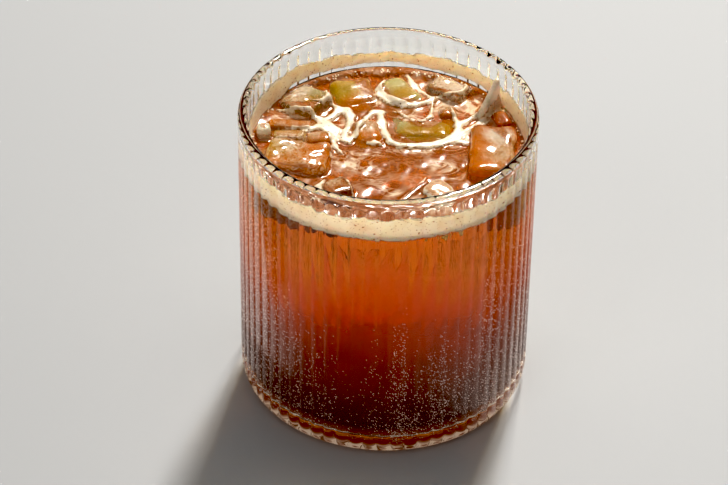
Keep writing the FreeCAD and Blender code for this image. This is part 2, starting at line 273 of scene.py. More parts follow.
class Shader:
    """A material's nodes while they are being wired."""

    def __init__(self, name: str) -> None:
        """Starts a material with its Principled shader and output."""
        self.material = bpy.data.materials.new(name)
        self.material.use_nodes = True
        self.tree = self.material.node_tree
        self.surface = self.tree.nodes["Principled BSDF"]
        self.output = self.tree.nodes["Material Output"]

    def node(self, kind: str, settings: dict[str, object] | None = None,
             **inputs: object) -> bpy.types.Node:
        """Adds a node.

        Args:
            kind: the node's type, without "ShaderNode".
            settings: the node's own properties.
            inputs: values, or sockets to link, by input name with _ for spaces.

        Returns:
            The new node.
        """
        return add_node(self.tree, kind, settings, **inputs)

    def set(self, **inputs: object) -> None:
        """Sets or links the Principled shader's inputs, by name with _ for spaces."""
        fill_inputs(self.tree, self.surface, inputs)

    def group(self, tree: bpy.types.NodeTree, **inputs: object) -> bpy.types.NodeSocket:
        """Places a node group with its own values and returns its mask."""
        placed = self.tree.nodes.new("ShaderNodeGroup")
        placed.node_tree = tree
        fill_inputs(self.tree, placed, inputs)
        return placed.outputs["Mask"]

    def kept(self, name: str, output: str = "Fac") -> bpy.types.NodeSocket:
        """What the piece keeps at each point under a name."""
        return self.node("Attribute", {"attribute_name": name}).outputs[output]

    def maths(self, operation: str, *values: object) -> bpy.types.NodeSocket:
        """The result of a Math node on values or sockets."""
        inputs = {f"_{place}": value for place, value in enumerate(values)}
        return self.node("Math", {"operation": operation}, **inputs).outputs[0]

    def scaled(self, value: bpy.types.NodeSocket, **limits: float) -> bpy.types.NodeSocket:
        """A value carried evenly from From_Min, From_Max to To_Min, To_Max."""
        return self.node("MapRange", Value=value, **limits).outputs["Result"]

    def eased(self, value: bpy.types.NodeSocket, **limits: object) -> bpy.types.NodeSocket:
        """A value carried as scaled carries it, but flat at both ends."""
        easing = {"interpolation_type": "SMOOTHSTEP"}
        return self.node("MapRange", easing, Value=value, **limits).outputs["Result"]

    def from_axis(self) -> bpy.types.NodeSocket:
        """How far each place is from the glass's axis, in metres."""
        place = self.node("TexCoord").outputs["Object"]
        flat = self.node("VectorMath", {"operation": "MULTIPLY"}, _0=place, _1=(1.0, 1.0, 0.0))
        return self.node("VectorMath", {"operation": "LENGTH"}, _0=flat.outputs[0]).outputs["Value"]

    def blend(self, mask: bpy.types.NodeSocket, low: object, high: object) -> bpy.types.NodeSocket:
        """Mixes two colours or colour sockets: a mask of 0 gives low and 1 gives high."""
        mix = self.node("Mix", {"data_type": "RGBA"})
        fill_inputs(self.tree, mix, {"_0": mask, "_6": low, "_7": high})
        return mix.outputs[2]

    def relief(self, height: bpy.types.NodeSocket, distance: float, strength: float) -> None:
        """Feeds a height through a Bump node to the surface's normal.

        Args:
            height: 0 to 1 over the surface.
            distance: what a height of 1 stands for, in metres.
            strength: the bump's strength.
        """
        bump = self.node("Bump", Height=height, Distance=distance, Strength=strength)
        self.set(Normal=bump.outputs["Normal"])


def fill_inputs(tree: bpy.types.NodeTree, node: bpy.types.Node, inputs: dict[str, object]) -> None:
    """Sets or links a node's inputs.

    Args:
        tree: the tree that holds the node.
        node: the node.
        inputs: values or output sockets by input name with _ for spaces.
    """
    for name, value in inputs.items():
        socket = node.inputs[int(name[1:])] if name[1:].isdigit() else node.inputs[name.replace("_", " ")]
        if isinstance(value, bpy.types.NodeSocket):
            tree.links.new(value, socket)
        elif isinstance(value, tuple) and len(value) == 3 and socket.type == "RGBA":
            socket.default_value = (*value, 1.0)
        else:
            socket.default_value = value


def add_node(tree: bpy.types.NodeTree, kind: str, settings: dict[str, object] | None = None,
             **inputs: object) -> bpy.types.Node:
    """Adds a shader node to a tree; see Shader.node."""
    node = tree.nodes.new("ShaderNode" + kind)
    for key, value in (settings or {}).items():
        setattr(node, key, value)
    fill_inputs(tree, node, inputs)
    return node


def new_group(name: str, inputs: dict[str, float]) -> bpy.types.NodeTree:
    """An empty shader node group with named inputs, and a mask for its output.

    Args:
        name: the group's name.
        inputs: each input's name and its usual value.

    Returns:
        The group's tree.
    """
    tree = bpy.data.node_groups.new(name, "ShaderNodeTree")
    for key, value in inputs.items():
        socket = tree.interface.new_socket(name=key, in_out="INPUT", socket_type="NodeSocketFloat")
        socket.default_value = value
    tree.interface.new_socket(name="Mask", in_out="OUTPUT", socket_type="NodeSocketFloat")
    tree.nodes.new("NodeGroupInput")
    tree.nodes.new("NodeGroupOutput")
    return tree


def mottle_group() -> bpy.types.NodeTree:
    """A cloudy mask: noise in the object's own space, cut between Low and High."""
    tree = new_group("cloudy_mottle", {"Scale": 100.0, "Detail": 4.0, "Distortion": 0.0,
                                       "Low": 0.4, "High": 0.6})
    given = tree.nodes["Group Input"].outputs
    place = add_node(tree, "TexCoord").outputs["Object"]
    noise = add_node(tree, "TexNoise", Vector=place, Scale=given["Scale"], Detail=given["Detail"],
                     Distortion=given["Distortion"])
    cut = add_node(tree, "MapRange", {"interpolation_type": "SMOOTHSTEP"}, Value=noise.outputs["Fac"],
                   From_Min=given["Low"], From_Max=given["High"])
    tree.links.new(cut.outputs["Result"], tree.nodes["Group Output"].inputs["Mask"])
    return tree


def wisp_group() -> bpy.types.NodeTree:
    """A mask of thin drifting wisps, as milk makes in coffee: 1 along each wisp."""
    tree = new_group("drifting_wisps", {"Scale": 100.0, "Detail": 5.0, "Distortion": 1.0, "Width": 0.08})
    given = tree.nodes["Group Input"].outputs
    place = add_node(tree, "TexCoord").outputs["Object"]
    slanted = add_node(tree, "VectorMath", {"operation": "MULTIPLY"}, _0=place, _1=(0.85, 1.15, 1.0))
    noise = add_node(tree, "TexNoise", Vector=slanted.outputs[0], Scale=given["Scale"],
                     Detail=given["Detail"], Distortion=given["Distortion"])
    middle = add_node(tree, "Math", {"operation": "SUBTRACT"}, _0=noise.outputs["Fac"], _1=0.5)
    off = add_node(tree, "Math", {"operation": "ABSOLUTE"}, _0=middle.outputs[0])
    cut = add_node(tree, "MapRange", {"interpolation_type": "SMOOTHSTEP"}, Value=off.outputs[0],
                   From_Min=0.0, From_Max=given["Width"], To_Min=1.0, To_Max=0.0)
    tree.links.new(cut.outputs["Result"], tree.nodes["Group Output"].inputs["Mask"])
    return tree


def pinhole_group() -> bpy.types.NodeTree:
    """A mask of round pinholes, as burst bubbles leave in foam: 1 in each hole."""
    tree = new_group("pinholes", {"Scale": 900.0, "Size": 0.25, "Softness": 0.08})
    given = tree.nodes["Group Input"].outputs
    place = add_node(tree, "TexCoord").outputs["Object"]
    cells = add_node(tree, "TexVoronoi", Vector=place, Scale=given["Scale"])
    edge = add_node(tree, "Math", {"operation": "ADD"}, _0=given["Size"], _1=given["Softness"])
    cut = add_node(tree, "MapRange", {"interpolation_type": "SMOOTHSTEP"}, Value=cells.outputs["Distance"],
                   From_Min=given["Size"], From_Max=edge.outputs[0], To_Min=1.0, To_Max=0.0)
    tree.links.new(cut.outputs["Result"], tree.nodes["Group Output"].inputs["Mask"])
    return tree


class Effects:
    """The node groups that several finishes share, each built once."""

    def __init__(self) -> None:
        """Builds the groups."""
        self.mottle = mottle_group()
        self.wisps = wisp_group()
        self.pinholes = pinhole_group()


def pass_shadow_light(shader: Shader, tint: Colour) -> None:
    """Lets lamp light through, tinted, so that the clear thing casts a light shadow.

    Args:
        shader: the material being wired.
        tint: what each surface lets through.
    """
    ray = shader.node("LightPath")
    clear = shader.node("BsdfTransparent", Color=tint)
    body = shader.output.inputs["Surface"].links[0].from_socket
    mix = shader.node("MixShader", _0=ray.outputs["Is Shadow Ray"], _1=body, _2=clear.outputs["BSDF"])
    shader.tree.links.new(mix.outputs[0], shader.output.inputs["Surface"])


@dataclass(frozen=True)
class ClearGlass:
    """Clear pressed glass, faintly wavy."""

    tint: Colour = (0.985, 0.995, 0.99)
    ripple: float = 0.00004

    def material(self, effects: Effects) -> bpy.types.Material:
        """Wires the finish and returns its material."""
        shader = Shader("clear_pressed_glass")
        shader.set(Base_Color=self.tint, Roughness=0.0, IOR=GLASS_IOR, Transmission_Weight=1.0)
        wobble = shader.group(effects.mottle, Scale=160.0, Detail=1.0, Low=0.2, High=0.8)
        shader.relief(wobble, self.ripple, 0.5)
        pass_shadow_light(shader, (0.93, 0.93, 0.93))
        return shader.material


@dataclass(frozen=True)
class BrewedCoffee:
    """Clear red-brown coffee: amber where light has a short way through it, near black where long."""

    passes: Colour = (0.984, 0.795, 0.2)
    density: float = 90.0

    def material(self, effects: Effects) -> bpy.types.Material:
        """Wires the finish and returns its material."""
        shader = Shader("cold_brew")
        shader.set(Base_Color=(1.0, 1.0, 1.0), Roughness=0.0, IOR=WATER_IOR, Transmission_Weight=1.0)
        ripple = shader.group(effects.mottle, Scale=420.0, Detail=2.0, Distortion=0.4, Low=0.3, High=0.7)
        shader.relief(ripple, 0.00003, 0.4)
        pass_shadow_light(shader, (0.96, 0.9, 0.8))
        soak = shader.node("VolumeAbsorption", Color=self.passes, Density=self.density)
        shader.tree.links.new(soak.outputs["Volume"], shader.output.inputs["Volume"])
        return shader.material


@dataclass(frozen=True)
class ShadeAndGlowCoffee:
    """The deeper coffee, clear of ice, as painted shade and painted light: it swallows more light,
    darkening the lower drink, and has a painted red glow where it is thick.
    """

    passes: Colour = (0.82, 0.52, 0.1)
    density: float = 42.0
    painted_glow: Colour = (1.0, 0.06, 0.0)
    painted_glow_strength: float = 1.6

    def material(self, effects: Effects) -> bpy.types.Material:
        """Wires the finish and returns its material."""
        shader = Shader("deep_shade_and_glow")
        tone = shader.group(effects.mottle, Scale=60.0, Detail=1.0, Low=0.0, High=0.2)
        colour = shader.blend(tone, (0.98, 0.98, 0.98), (1.0, 1.0, 1.0))
        shader.set(Base_Color=colour, Roughness=0.0, IOR=1.0, Transmission_Weight=1.0)
        soak = shader.node("VolumeAbsorption", Color=self.passes, Density=self.density)
        painted_glow = shader.node("Emission", Color=self.painted_glow, Strength=self.painted_glow_strength)
        both = shader.node("AddShader", _0=soak.outputs["Volume"], _1=painted_glow.outputs["Emission"])
        shader.tree.links.new(both.outputs[0], shader.output.inputs["Volume"])
        return shader.material


@dataclass(frozen=True)
class ShadedFoot:
    """The underside of the drink, painted: near-black painted shade, with a painted lit rim where light
    would come in by the thick glass, and painted glints seen from below; it glows though it is no lamp.
    """

    rim: Colour = (0.13, 0.018, 0.002)
    heart: Colour = (0.045, 0.004, 0.001)
    under: Colour = (0.2, 0.045, 0.006)
    sparkle: Colour = (0.42, 0.17, 0.04)
    inner: float = 0.0345
    outer: float = 0.0385
    painted_glow: float = 0.35

    def material(self, effects: Effects) -> bpy.types.Material:
        """Wires the finish and returns its material."""
        shader = Shader("painted_shade_foot")
        away = shader.from_axis()
        share = shader.eased(away, From_Min=self.inner, From_Max=self.outer)
        # Patches that break up the painted lit rim.
        rim_patches = shader.group(effects.mottle, Scale=180.0, Detail=5.0, Low=0.1, High=0.5)
        edge = shader.maths("MULTIPLY", share, rim_patches)
        colour = shader.blend(edge, self.heart, self.rim)
        facing = shader.node("NewGeometry")
        # Painted glints for the side seen from below, through the foot of the glass.
        glints = shader.group(effects.mottle, Scale=330.0, Detail=5.0, Distortion=0.8, Low=0.42, High=0.6)
        below = shader.blend(glints, self.under, self.sparkle)
        colour = shader.blend(facing.outputs["Backfacing"], below, colour)
        shader.set(Base_Color=colour, Emission_Color=colour, Emission_Strength=self.painted_glow, Roughness=0.6,
                   Specular_IOR_Level=0.0)
        return shader.material


@dataclass(frozen=True)
class FootLight:
    """Painted light that the thick foot of the glass catches: pale, with painted brown glints; it glows
    though it is no lamp.
    """

    pale: Colour = (0.66, 0.6, 0.5)
    brown: Colour = (0.17, 0.08, 0.03)
    amber: Colour = (0.2, 0.05, 0.006)
    amber_edge: float = 0.0322
    pale_edge: float = 0.0348
    painted_glow: float = 0.25

    def material(self, effects: Effects) -> bpy.types.Material:
        """Wires the finish and returns its material."""
        shader = Shader("foot_light")
        glints = shader.group(effects.mottle, Scale=420.0, Detail=5.0, Distortion=1.0, Low=0.36, High=0.56)
        colour = shader.blend(glints, self.brown, self.pale)
        away = shader.from_axis()
        share = shader.eased(away, From_Min=self.amber_edge, From_Max=self.pale_edge)
        colour = shader.blend(share, self.amber, colour)
        shader.set(Base_Color=colour, Emission_Color=colour, Emission_Strength=self.painted_glow, Roughness=0.5)
        return shader.material


@dataclass(frozen=True)
class FootShadeAndGlow:
    """Painted shade that thickens towards the foot of the drink, with a painted glow: orange high up, dark
    red low down.

    The shell's own height, 0 at the bottom and 1 at the top, is kept with the piece. Each stop is a height,
    a colour and how much the painted shade hides.
    """

    stops: tuple[tuple[float, Colour, float], ...] = (
        (0.0, (0.22, 0.055, 0.004), 0.95),
        (0.03, (0.085, 0.02, 0.003), 0.95),
        (0.08, (0.034, 0.009, 0.003), 0.95),
        (0.2, (0.042, 0.01, 0.003), 0.94),
        (0.3, (0.062, 0.013, 0.003), 0.93),
        (0.42, (0.095, 0.016, 0.003), 0.92),
        (0.54, (0.14, 0.02, 0.003), 0.9),
        (0.64, (0.19, 0.026, 0.003), 0.84),
        (0.74, (0.25, 0.034, 0.003), 0.68),
        (0.86, (0.31, 0.046, 0.002), 0.42),
        (1.0, (0.36, 0.07, 0.002), 0.0),
    )
    unevenness: float = 0.1
    painted_glow: float = 0.85

    def material(self, effects: Effects) -> bpy.types.Material:
        """Wires the finish and returns its material."""
        shader = Shader("foot_shade_and_glow")
        height = shader.kept("height")
        drift = shader.group(effects.mottle, Scale=75.0, Detail=4.0, Distortion=1.2, Low=0.2, High=0.8)
        calm = shader.eased(height, From_Min=0.05, From_Max=0.3, To_Max=self.unevenness)
        shift = shader.maths("MULTIPLY_ADD", drift, calm, height)
        ramp = shader.node("ValToRGB", Fac=shift)
        marks = ramp.color_ramp.elements
        while len(marks) < len(self.stops):
            marks.new(0.5)
        for mark, (place, colour, cover) in zip(marks, self.stops):
            mark.position = place
            mark.color = (*colour, cover)
        facing = shader.node("NewGeometry")
        outward = shader.maths("SUBTRACT", 1.0, facing.outputs["Backfacing"])
        cover = shader.maths("MULTIPLY", ramp.outputs["Alpha"], outward)
        shader.set(Base_Color=ramp.outputs["Color"], Emission_Color=ramp.outputs["Color"],
                   Emission_Strength=self.painted_glow, Alpha=cover, Roughness=0.6,
                   Specular_IOR_Level=0.0)
        return shader.material


@dataclass(frozen=True)
class WallMistAndSheen:
    """Pale mist and fine slanted beads on the outside of the cold glass, where the piece's masks say; the
    mist also stands in for bars of reflected light as a painted reflection, and has a faint painted glow.
    """

    colour: Colour = (0.72, 0.6, 0.54)
    cool: Colour = (0.66, 0.64, 0.63)
    beads_across: float = 2.9
    beads_up: float = 1.5
    between_beads: float = 0.42
    painted_glow: float = 0.4

    def material(self, effects: Effects) -> bpy.types.Material:
        """Wires the finish and returns its material."""
        shader = Shader("wall_mist_and_sheen")
        mask = shader.kept("mist_and_sheen")
        beaded = shader.kept("beaded")
        around = shader.kept("around")
        height = shader.kept("height")
        slant = shader.maths("MULTIPLY_ADD", height, 0.55, around)
        place = shader.node("CombineXYZ", X=slant, Y=height)
        narrow = shader.node("VectorMath", {"operation": "MULTIPLY"}, _0=place.outputs[0],
                             _1=(self.beads_across, self.beads_up, 1.0))
        cells = shader.node("TexVoronoi", Vector=narrow.outputs[0], Scale=1.0)
        bead = shader.eased(cells.outputs["Distance"], From_Min=0.2, From_Max=0.4, To_Min=1.0, To_Max=0.0)
        chance = shader.node("SeparateColor", Color=cells.outputs["Color"])
        kept = shader.maths("LESS_THAN", chance.outputs[0], beaded)
        drops = shader.maths("MULTIPLY", bead, kept)
        dots = shader.maths("MULTIPLY", drops, 0.6)
        grain = shader.group(effects.mottle, Scale=900.0, Detail=5.0, Distortion=0.6, Low=0.25, High=0.7)
        dotted = shader.maths("MULTIPLY", grain, bead)
        patchy = shader.scaled(dotted, To_Min=self.between_beads, To_Max=1.0)
        haze = shader.maths("MULTIPLY", mask, patchy)
        cover = shader.maths("MAXIMUM", haze, dots)
        tint = shader.group(effects.mottle, Scale=45.0, Detail=2.0, Low=0.2, High=0.8)
        colour = shader.blend(tint, self.cool, self.colour)
        shader.set(Base_Color=colour, Emission_Color=colour, Emission_Strength=self.painted_glow,
                   Alpha=cover, Roughness=0.4)
        shader.relief(drops, 0.0002, 0.6)
        return shader.material


@dataclass(frozen=True)
class WetIce:
    """Half-melted ice in the coffee: its painted tone, white frost and trapped bubbles under a wet coat,
    with a faint painted glow that stands in for light through the ice.

    The tone comes from the lump's own paint, and the frost is strongest where its frost mask says.
    """

    name: str = "coffee_ice"
    frost: Colour = (0.8, 0.68, 0.5)
    clearness: float = 0.3
    painted_glow: float = 0.12

    def material(self, effects: Effects) -> bpy.types.Material:
        """Wires the finish and returns its material."""
        shader = Shader(self.name)
        paint = shader.kept("paint", "Color")
        mask = shader.kept("frost")
        tone = shader.group(effects.mottle, Scale=170.0, Detail=3.0, Distortion=0.8, Low=0.3, High=0.7)
        deep = shader.node("HueSaturation", Color=paint, Saturation=1.15, Value=0.62)
        colour = shader.blend(tone, deep.outputs["Color"], paint)
        grain = shader.group(effects.mottle, Scale=620.0, Detail=6.0, Distortion=1.4, Low=0.36, High=0.62)
        frosty = shader.maths("MULTIPLY", grain, mask)
        colour = shader.blend(frosty, colour, self.frost)
        bubbles = shader.group(effects.pinholes, Scale=900.0, Size=0.09, Softness=0.05)
        colour = shader.blend(bubbles, colour, self.frost)
        rough = shader.scaled(frosty, To_Min=0.14, To_Max=0.45)
        shader.set(Base_Color=colour, Emission_Color=colour, Emission_Strength=self.painted_glow,
                   Roughness=rough, IOR=1.31, Transmission_Weight=self.clearness,
                   Coat_Weight=1.0, Coat_Roughness=0.02, Coat_IOR=WATER_IOR, Subsurface_Weight=0.4,
                   Subsurface_Scale=0.003, Subsurface_Radius=(1.0, 0.45, 0.12))
        shader.relief(grain, 0.00012, 0.5)
        return shader.material


@dataclass(frozen=True)
class SunkIceFinish:
    """Clear ice under the coffee, cloudy at its heart."""

    cloud: Colour = (0.9, 0.8, 0.65)

    def material(self, effects: Effects) -> bpy.types.Material:
        """Wires the finish and returns its material."""
        shader = Shader("sunk_ice")
        heart = shader.group(effects.mottle, Scale=120.0, Detail=5.0, Distortion=1.0, Low=0.4, High=0.7)
        colour = shader.blend(heart, (1.0, 1.0, 1.0), self.cloud)
        shader.set(Base_Color=colour, Roughness=0.05, IOR=1.03, Transmission_Weight=0.97)
        shader.relief(heart, 0.0006, 0.6)
        return shader.material


@dataclass(frozen=True)
class SurfaceSkin:
    """What lies on the coffee: opaque cream foam along the strands, and a milky brown film between them.

    The foam mask is the depth inside a strand in millimetres, and the film mask how thick the film is.
    """

    cream: Colour = (0.68, 0.59, 0.45)
    tan: Colour = (0.56, 0.38, 0.21)
    hole: Colour = (0.17, 0.06, 0.015)
    milky: Colour = (0.7, 0.53, 0.37)
    frost: Colour = (0.8, 0.68, 0.5)
    window: float = 0.45
    brown: Colour = (0.33, 0.1, 0.014)

    def material(self, effects: Effects) -> bpy.types.Material:
        """Wires the finish and returns its material."""
        shader = Shader("surface_skin")
        depth = shader.kept("foam")
        film = shader.kept("film")
        milk = shader.kept("milk")
        ragged = shader.group(effects.mottle, Scale=900.0, Detail=4.0, Distortion=0.6, Low=0.2, High=0.8)
        edge = shader.maths("MULTIPLY_ADD", ragged, 0.7, depth)
        foam = shader.eased(edge, From_Min=0.12, From_Max=0.62)
        thick = shader.eased(edge, From_Min=0.2, From_Max=1.1)
        swirl = shader.group(effects.wisps, Scale=105.0, Detail=8.0, Distortion=2.2, Width=0.05)
        softer = shader.maths("MULTIPLY", swirl, 0.6)
        cloud = shader.group(effects.mottle, Scale=130.0, Detail=7.0, Distortion=1.2, Low=0.46, High=0.66)
        streaks = shader.node("Math", {"operation": "MULTIPLY_ADD", "use_clamp": True},
                              _0=cloud, _1=0.8, _2=softer)
        wisps = shader.maths("MULTIPLY", streaks.outputs[0], milk)
        soft = shader.blend(wisps, self.brown, self.milky)
        fine = shader.group(effects.pinholes, Scale=1300.0, Size=0.11, Softness=0.06)
        large = shader.group(effects.pinholes, Scale=560.0, Size=0.1, Softness=0.04)
        holes = shader.maths("MAXIMUM", fine, large)
        froth = shader.blend(thick, self.tan, self.cream)
        froth = shader.blend(holes, froth, self.hole)
        veil = shader.maths("MULTIPLY_ADD", wisps, 0.3, 0.66)
        cover = shader.maths("MULTIPLY", veil, film)
        paint = shader.kept("paint", "Color")
        frost = shader.kept("frost")
        grain = shader.group(effects.mottle, Scale=620.0, Detail=6.0, Distortion=1.4, Low=0.36, High=0.62)
        crust = shader.maths("MULTIPLY", grain, frost)
        ice = shader.blend(crust, paint, self.frost)
        colour = shader.blend(film, ice, soft)
        colour = shader.blend(foam, colour, froth)
        wet = shader.maths("MAXIMUM", cover, self.window)
        alpha = shader.maths("MAXIMUM", wet, foam)
        rough = shader.scaled(foam, To_Min=0.16, To_Max=0.38)
        shader.set(Base_Color=colour, Alpha=alpha, Roughness=rough,
                   Coat_Weight=0.7, Coat_Roughness=0.05, Subsurface_Weight=0.25, Subsurface_Scale=0.0015,
                   Subsurface_Radius=(1.0, 0.6, 0.3))
        height = shader.maths("SUBTRACT", foam, holes)
        shader.relief(height, 0.00018, 0.7)
        return shader.material


@dataclass(frozen=True)
class CoffeeFoam:
    """Fine cream-coloured foam, browner where it is thin, pricked with small dark pinholes, with a faint
    painted glow that stands in for light through the foam.
    """

    name: str = "coffee_foam"
    cream: Colour = (0.93, 0.83, 0.64)
    tan: Colour = (0.8, 0.62, 0.4)
    hole: Colour = (0.35, 0.16, 0.06)
    painted_glow: float = 0.14
    thin_low: float = 0.25
    thin_high: float = 0.55
    lacy: bool = False

    def material(self, effects: Effects) -> bpy.types.Material:
        """Wires the finish and returns its material."""
        shader = Shader(self.name)
        cloud = shader.group(effects.mottle, Scale=210.0, Detail=5.0, Distortion=0.3, Low=self.thin_low,
                             High=self.thin_high)
        colour = shader.blend(cloud, self.tan, self.cream)
        fine = shader.group(effects.pinholes, Scale=1500.0, Size=0.13, Softness=0.08)
        large = shader.group(effects.pinholes, Scale=560.0, Size=0.09, Softness=0.05)
        holes = shader.maths("MAXIMUM", fine, large)
        colour = shader.blend(holes, colour, self.hole)
        shader.set(Base_Color=colour, Emission_Color=colour, Emission_Strength=self.painted_glow,
                   Roughness=0.42, IOR=WATER_IOR, Subsurface_Weight=0.5,
                   Subsurface_Scale=0.0025, Subsurface_Radius=(1.0, 0.6, 0.3), Coat_Weight=0.4,
                   Coat_Roughness=0.15)
        sunk = shader.maths("SUBTRACT", 1.0, holes)
        shader.relief(sunk, 0.0003, 0.8)
        if self.lacy:
            gaps = shader.group(effects.mottle, Scale=420.0, Detail=6.0, Distortion=0.5, Low=0.25,
                                High=0.75)
            body = shader.kept("body")
            froth = shader.maths("MULTIPLY_ADD", body, 1.0, gaps)
            cover = shader.eased(froth, From_Min=0.6, From_Max=1.0)
            shader.set(Alpha=cover)
        return shader.material


@dataclass(frozen=True)
class WaterDrops:
    """Clear water, as beads on the cold glass."""

    def material(self, effects: Effects) -> bpy.types.Material:
        """Wires the finish and returns its material."""
        shader = Shader("water_beads")
        shader.set(Base_Color=(1.0, 0.97, 0.94), Roughness=0.04, IOR=WATER_IOR, Transmission_Weight=0.5,
                   Coat_Weight=1.0)
        ripple = shader.group(effects.mottle, Scale=900.0, Detail=1.0)
        shader.relief(ripple, 0.00001, 0.2)
        return shader.material


@dataclass(frozen=True)
class PaleFloor:
    """A plain pale matt floor."""

    colour: Colour = (0.36, 0.36, 0.36)

    def material(self, effects: Effects) -> bpy.types.Material:
        """Wires the finish and returns its material."""
        shader = Shader("pale_floor")
        shader.set(Base_Color=self.colour, Roughness=0.6)
        return shader.material


class Tone(Enum):
    """The tones that show in the ice."""

    AMBER = (0.50, 0.175, 0.018)
    ORANGE = (0.56, 0.17, 0.006)
    GOLD = (0.46, 0.25, 0.014)
    OLIVE = (0.40, 0.27, 0.024)
    SAGE = (0.47, 0.43, 0.20)
    RUST = (0.34, 0.085, 0.014)
    DARK_RED = (0.17, 0.025, 0.005)
    TAN = (0.50, 0.31, 0.16)
    FROST = (0.74, 0.66, 0.52)


# ---------------------------------------------------------------- the pieces


@dataclass
class Tumbler:
    """The ribbed glass tumbler. Sizes in millimetres."""

    radius: float
    height: float
    cavity: float
    base: float
    ribs: int = 66
    rib_depth: float = 0.55
    steps_per_rib: int = 10
    heel: float = 2.4
    lip: float = 1.25
    lip_plain: float = 2.2
    lip_slope: float = 2.2
    rib_foot: float = 1.9
    corner: float = 5.0
    punt: float = 30.0
    punt_rise: float = 0.8
    wall_steps: int = 34

    @property
    def valley(self) -> float:
        """The radius between two ribs."""
        return self.radius - self.rib_depth

    def outer_radius(self, angle: np.ndarray, height: np.ndarray) -> np.ndarray:
        """The outside radius of the ribbed wall.

        Args:
            angle: places round the glass, in radians.
            height: heights in millimetres.

        Returns:
            The radii in millimetres.
        """
        across = (angle * self.ribs / (2 * math.pi)) % 1.0 * 2 - 1
        crown = self.rib_depth * (1 - across ** 2)
        foot = np.clip((height - self.heel * 0.8) / self.rib_foot, 0, 1)
        top = np.clip((self.height - self.lip_plain - height) / self.lip_slope + 0.5, 0, 1)
        flare = np.clip((height - (self.height - self.lip_plain - self.lip_slope)) / self.lip_slope, 0, 1)
        ribbed = self.valley + crown * np.sqrt(foot * np.minimum(top, 1))
        return np.maximum(ribbed, self.valley + self.rib_depth * flare ** 1.5)

    def profile(self) -> Profile:
        """The outline of the wall before the ribs are pressed."""
        lip_foot = self.height - self.lip_plain
        wall = np.linspace(self.heel + 0.6, lip_foot - self.lip_slope - 0.8, self.wall_steps)
        slope = np.linspace(lip_foot - self.lip_slope - 0.4, lip_foot + 0.2, 7)
        inner = np.linspace(self.height - self.lip - 2, self.base + self.corner + 1, 12)
        return (
            [(0.0, self.punt_rise), (self.punt / 2, self.punt_rise * 0.75), (self.punt, 0.0)]
            + corner_round((self.valley - self.heel, self.heel), self.heel, -90, 0, 7)
            + [(self.valley, z) for z in wall]
            + [(self.valley, z) for z in slope]
            + corner_round((self.radius - self.lip, self.height - self.lip), self.lip, 0, 90, 7)
            + corner_round((self.cavity + self.lip, self.height - self.lip), self.lip, 90, 180, 7)
            + [(self.cavity, z) for z in inner]
            + corner_round((self.cavity - self.corner, self.base + self.corner), self.corner, 0, -90, 9)
            + [(self.cavity / 3, self.base), (0.0, self.base)]
        )

    def build(self) -> bpy.types.Object:
        """Turns the blank, presses the ribs into its outside and returns the piece."""
        piece = turned("tumbler_glass", self.profile(), self.ribs * self.steps_per_rib, closed=False)
        points = points_of(piece) / MM
        radius, angle = polar(points)
        height = points[:, 2]
        outside = (radius > self.valley - 0.02) & (height < self.height - self.lip_plain + 0.3)
        target = np.where(outside, self.outer_radius(angle, height), radius)
        points[:, :2] *= (target / np.maximum(radius, 1e-6))[:, None]
        set_points(piece, points * MM)
        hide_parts("glass_tumbler")
        return piece

    def dress(self, piece: bpy.types.Object, effects: Effects) -> None:
        """Gives the glass its finish."""
        piece.data.materials.append(ClearGlass().material(effects))


@dataclass
class Coffee:
    """The drink. It reaches just into the wall, so that no air shows between them. Millimetres."""

    tumbler: Tumbler
    level: float
    into_wall: float = 0.15
    climb: float = 0.7
    climb_reach: float = 1.3
    steps: int = 220
    rings: int = 64

    SURFACE_WAVES = ((17.0, 20, 0.10), (11.0, 75, 0.09), (7.0, 130, 0.07), (4.6, 40, 0.04),
                     (3.4, 160, 0.03), (9.0, 100, 0.08))

    def surface(self, x: np.ndarray, y: np.ndarray) -> np.ndarray:
        """The height of the coffee's surface, with its small waves and its climb at the wall.

        Args:
            x: places across, in millimetres.
            y: places along, in millimetres.

        Returns:
            Heights in millimetres.
        """
        gap = self.tumbler.cavity - np.hypot(x, y)
        rise = self.climb * np.exp(-np.maximum(gap, 0) / self.climb_reach)
        return self.level + waves(x, y, self.SURFACE_WAVES) + rise

    def build(self) -> bpy.types.Object:
        """Turns the fill, shapes its surface and returns the piece."""
        t = self.tumbler
        wide = t.cavity + self.into_wall
        floor = t.base - self.into_wall
        profile = (
            [(0.0, floor), (t.cavity / 2, floor)]
            + corner_round((wide - t.corner, floor + t.corner), t.corner, -90, 0, 9)
            + [(wide, z) for z in np.linspace(t.base + t.corner + 3, self.level - 1, 14)]
            + [(wide, self.level + self.climb)]
            + [(r, self.level) for r in np.linspace(wide - 0.3, 0.0, self.rings)]
        )
        piece = turned("coffee_fill", profile, self.steps, closed=False)
        points = points_of(piece) / MM
        top = (points[:, 2] > self.level - 0.5) & (np.hypot(points[:, 0], points[:, 1]) < wide - 0.1)
        points[top, 2] = self.surface(points[top, 0], points[top, 1])
        set_points(piece, points * MM)
        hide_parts("coffee")
        return piece

    def dress(self, piece: bpy.types.Object, effects: Effects) -> None:
        """Gives the coffee its finish, and its underside the painted shade, painted lit rim and painted
        glints.
        """
        piece.data.materials.append(BrewedCoffee().material(effects))
        piece.data.materials.append(ShadedFoot().material(effects))
        underside = (self.tumbler.base + self.tumbler.corner * 0.35) * MM
        for face in piece.data.polygons:
            face.material_index = 1 if face.center.z < underside else 0


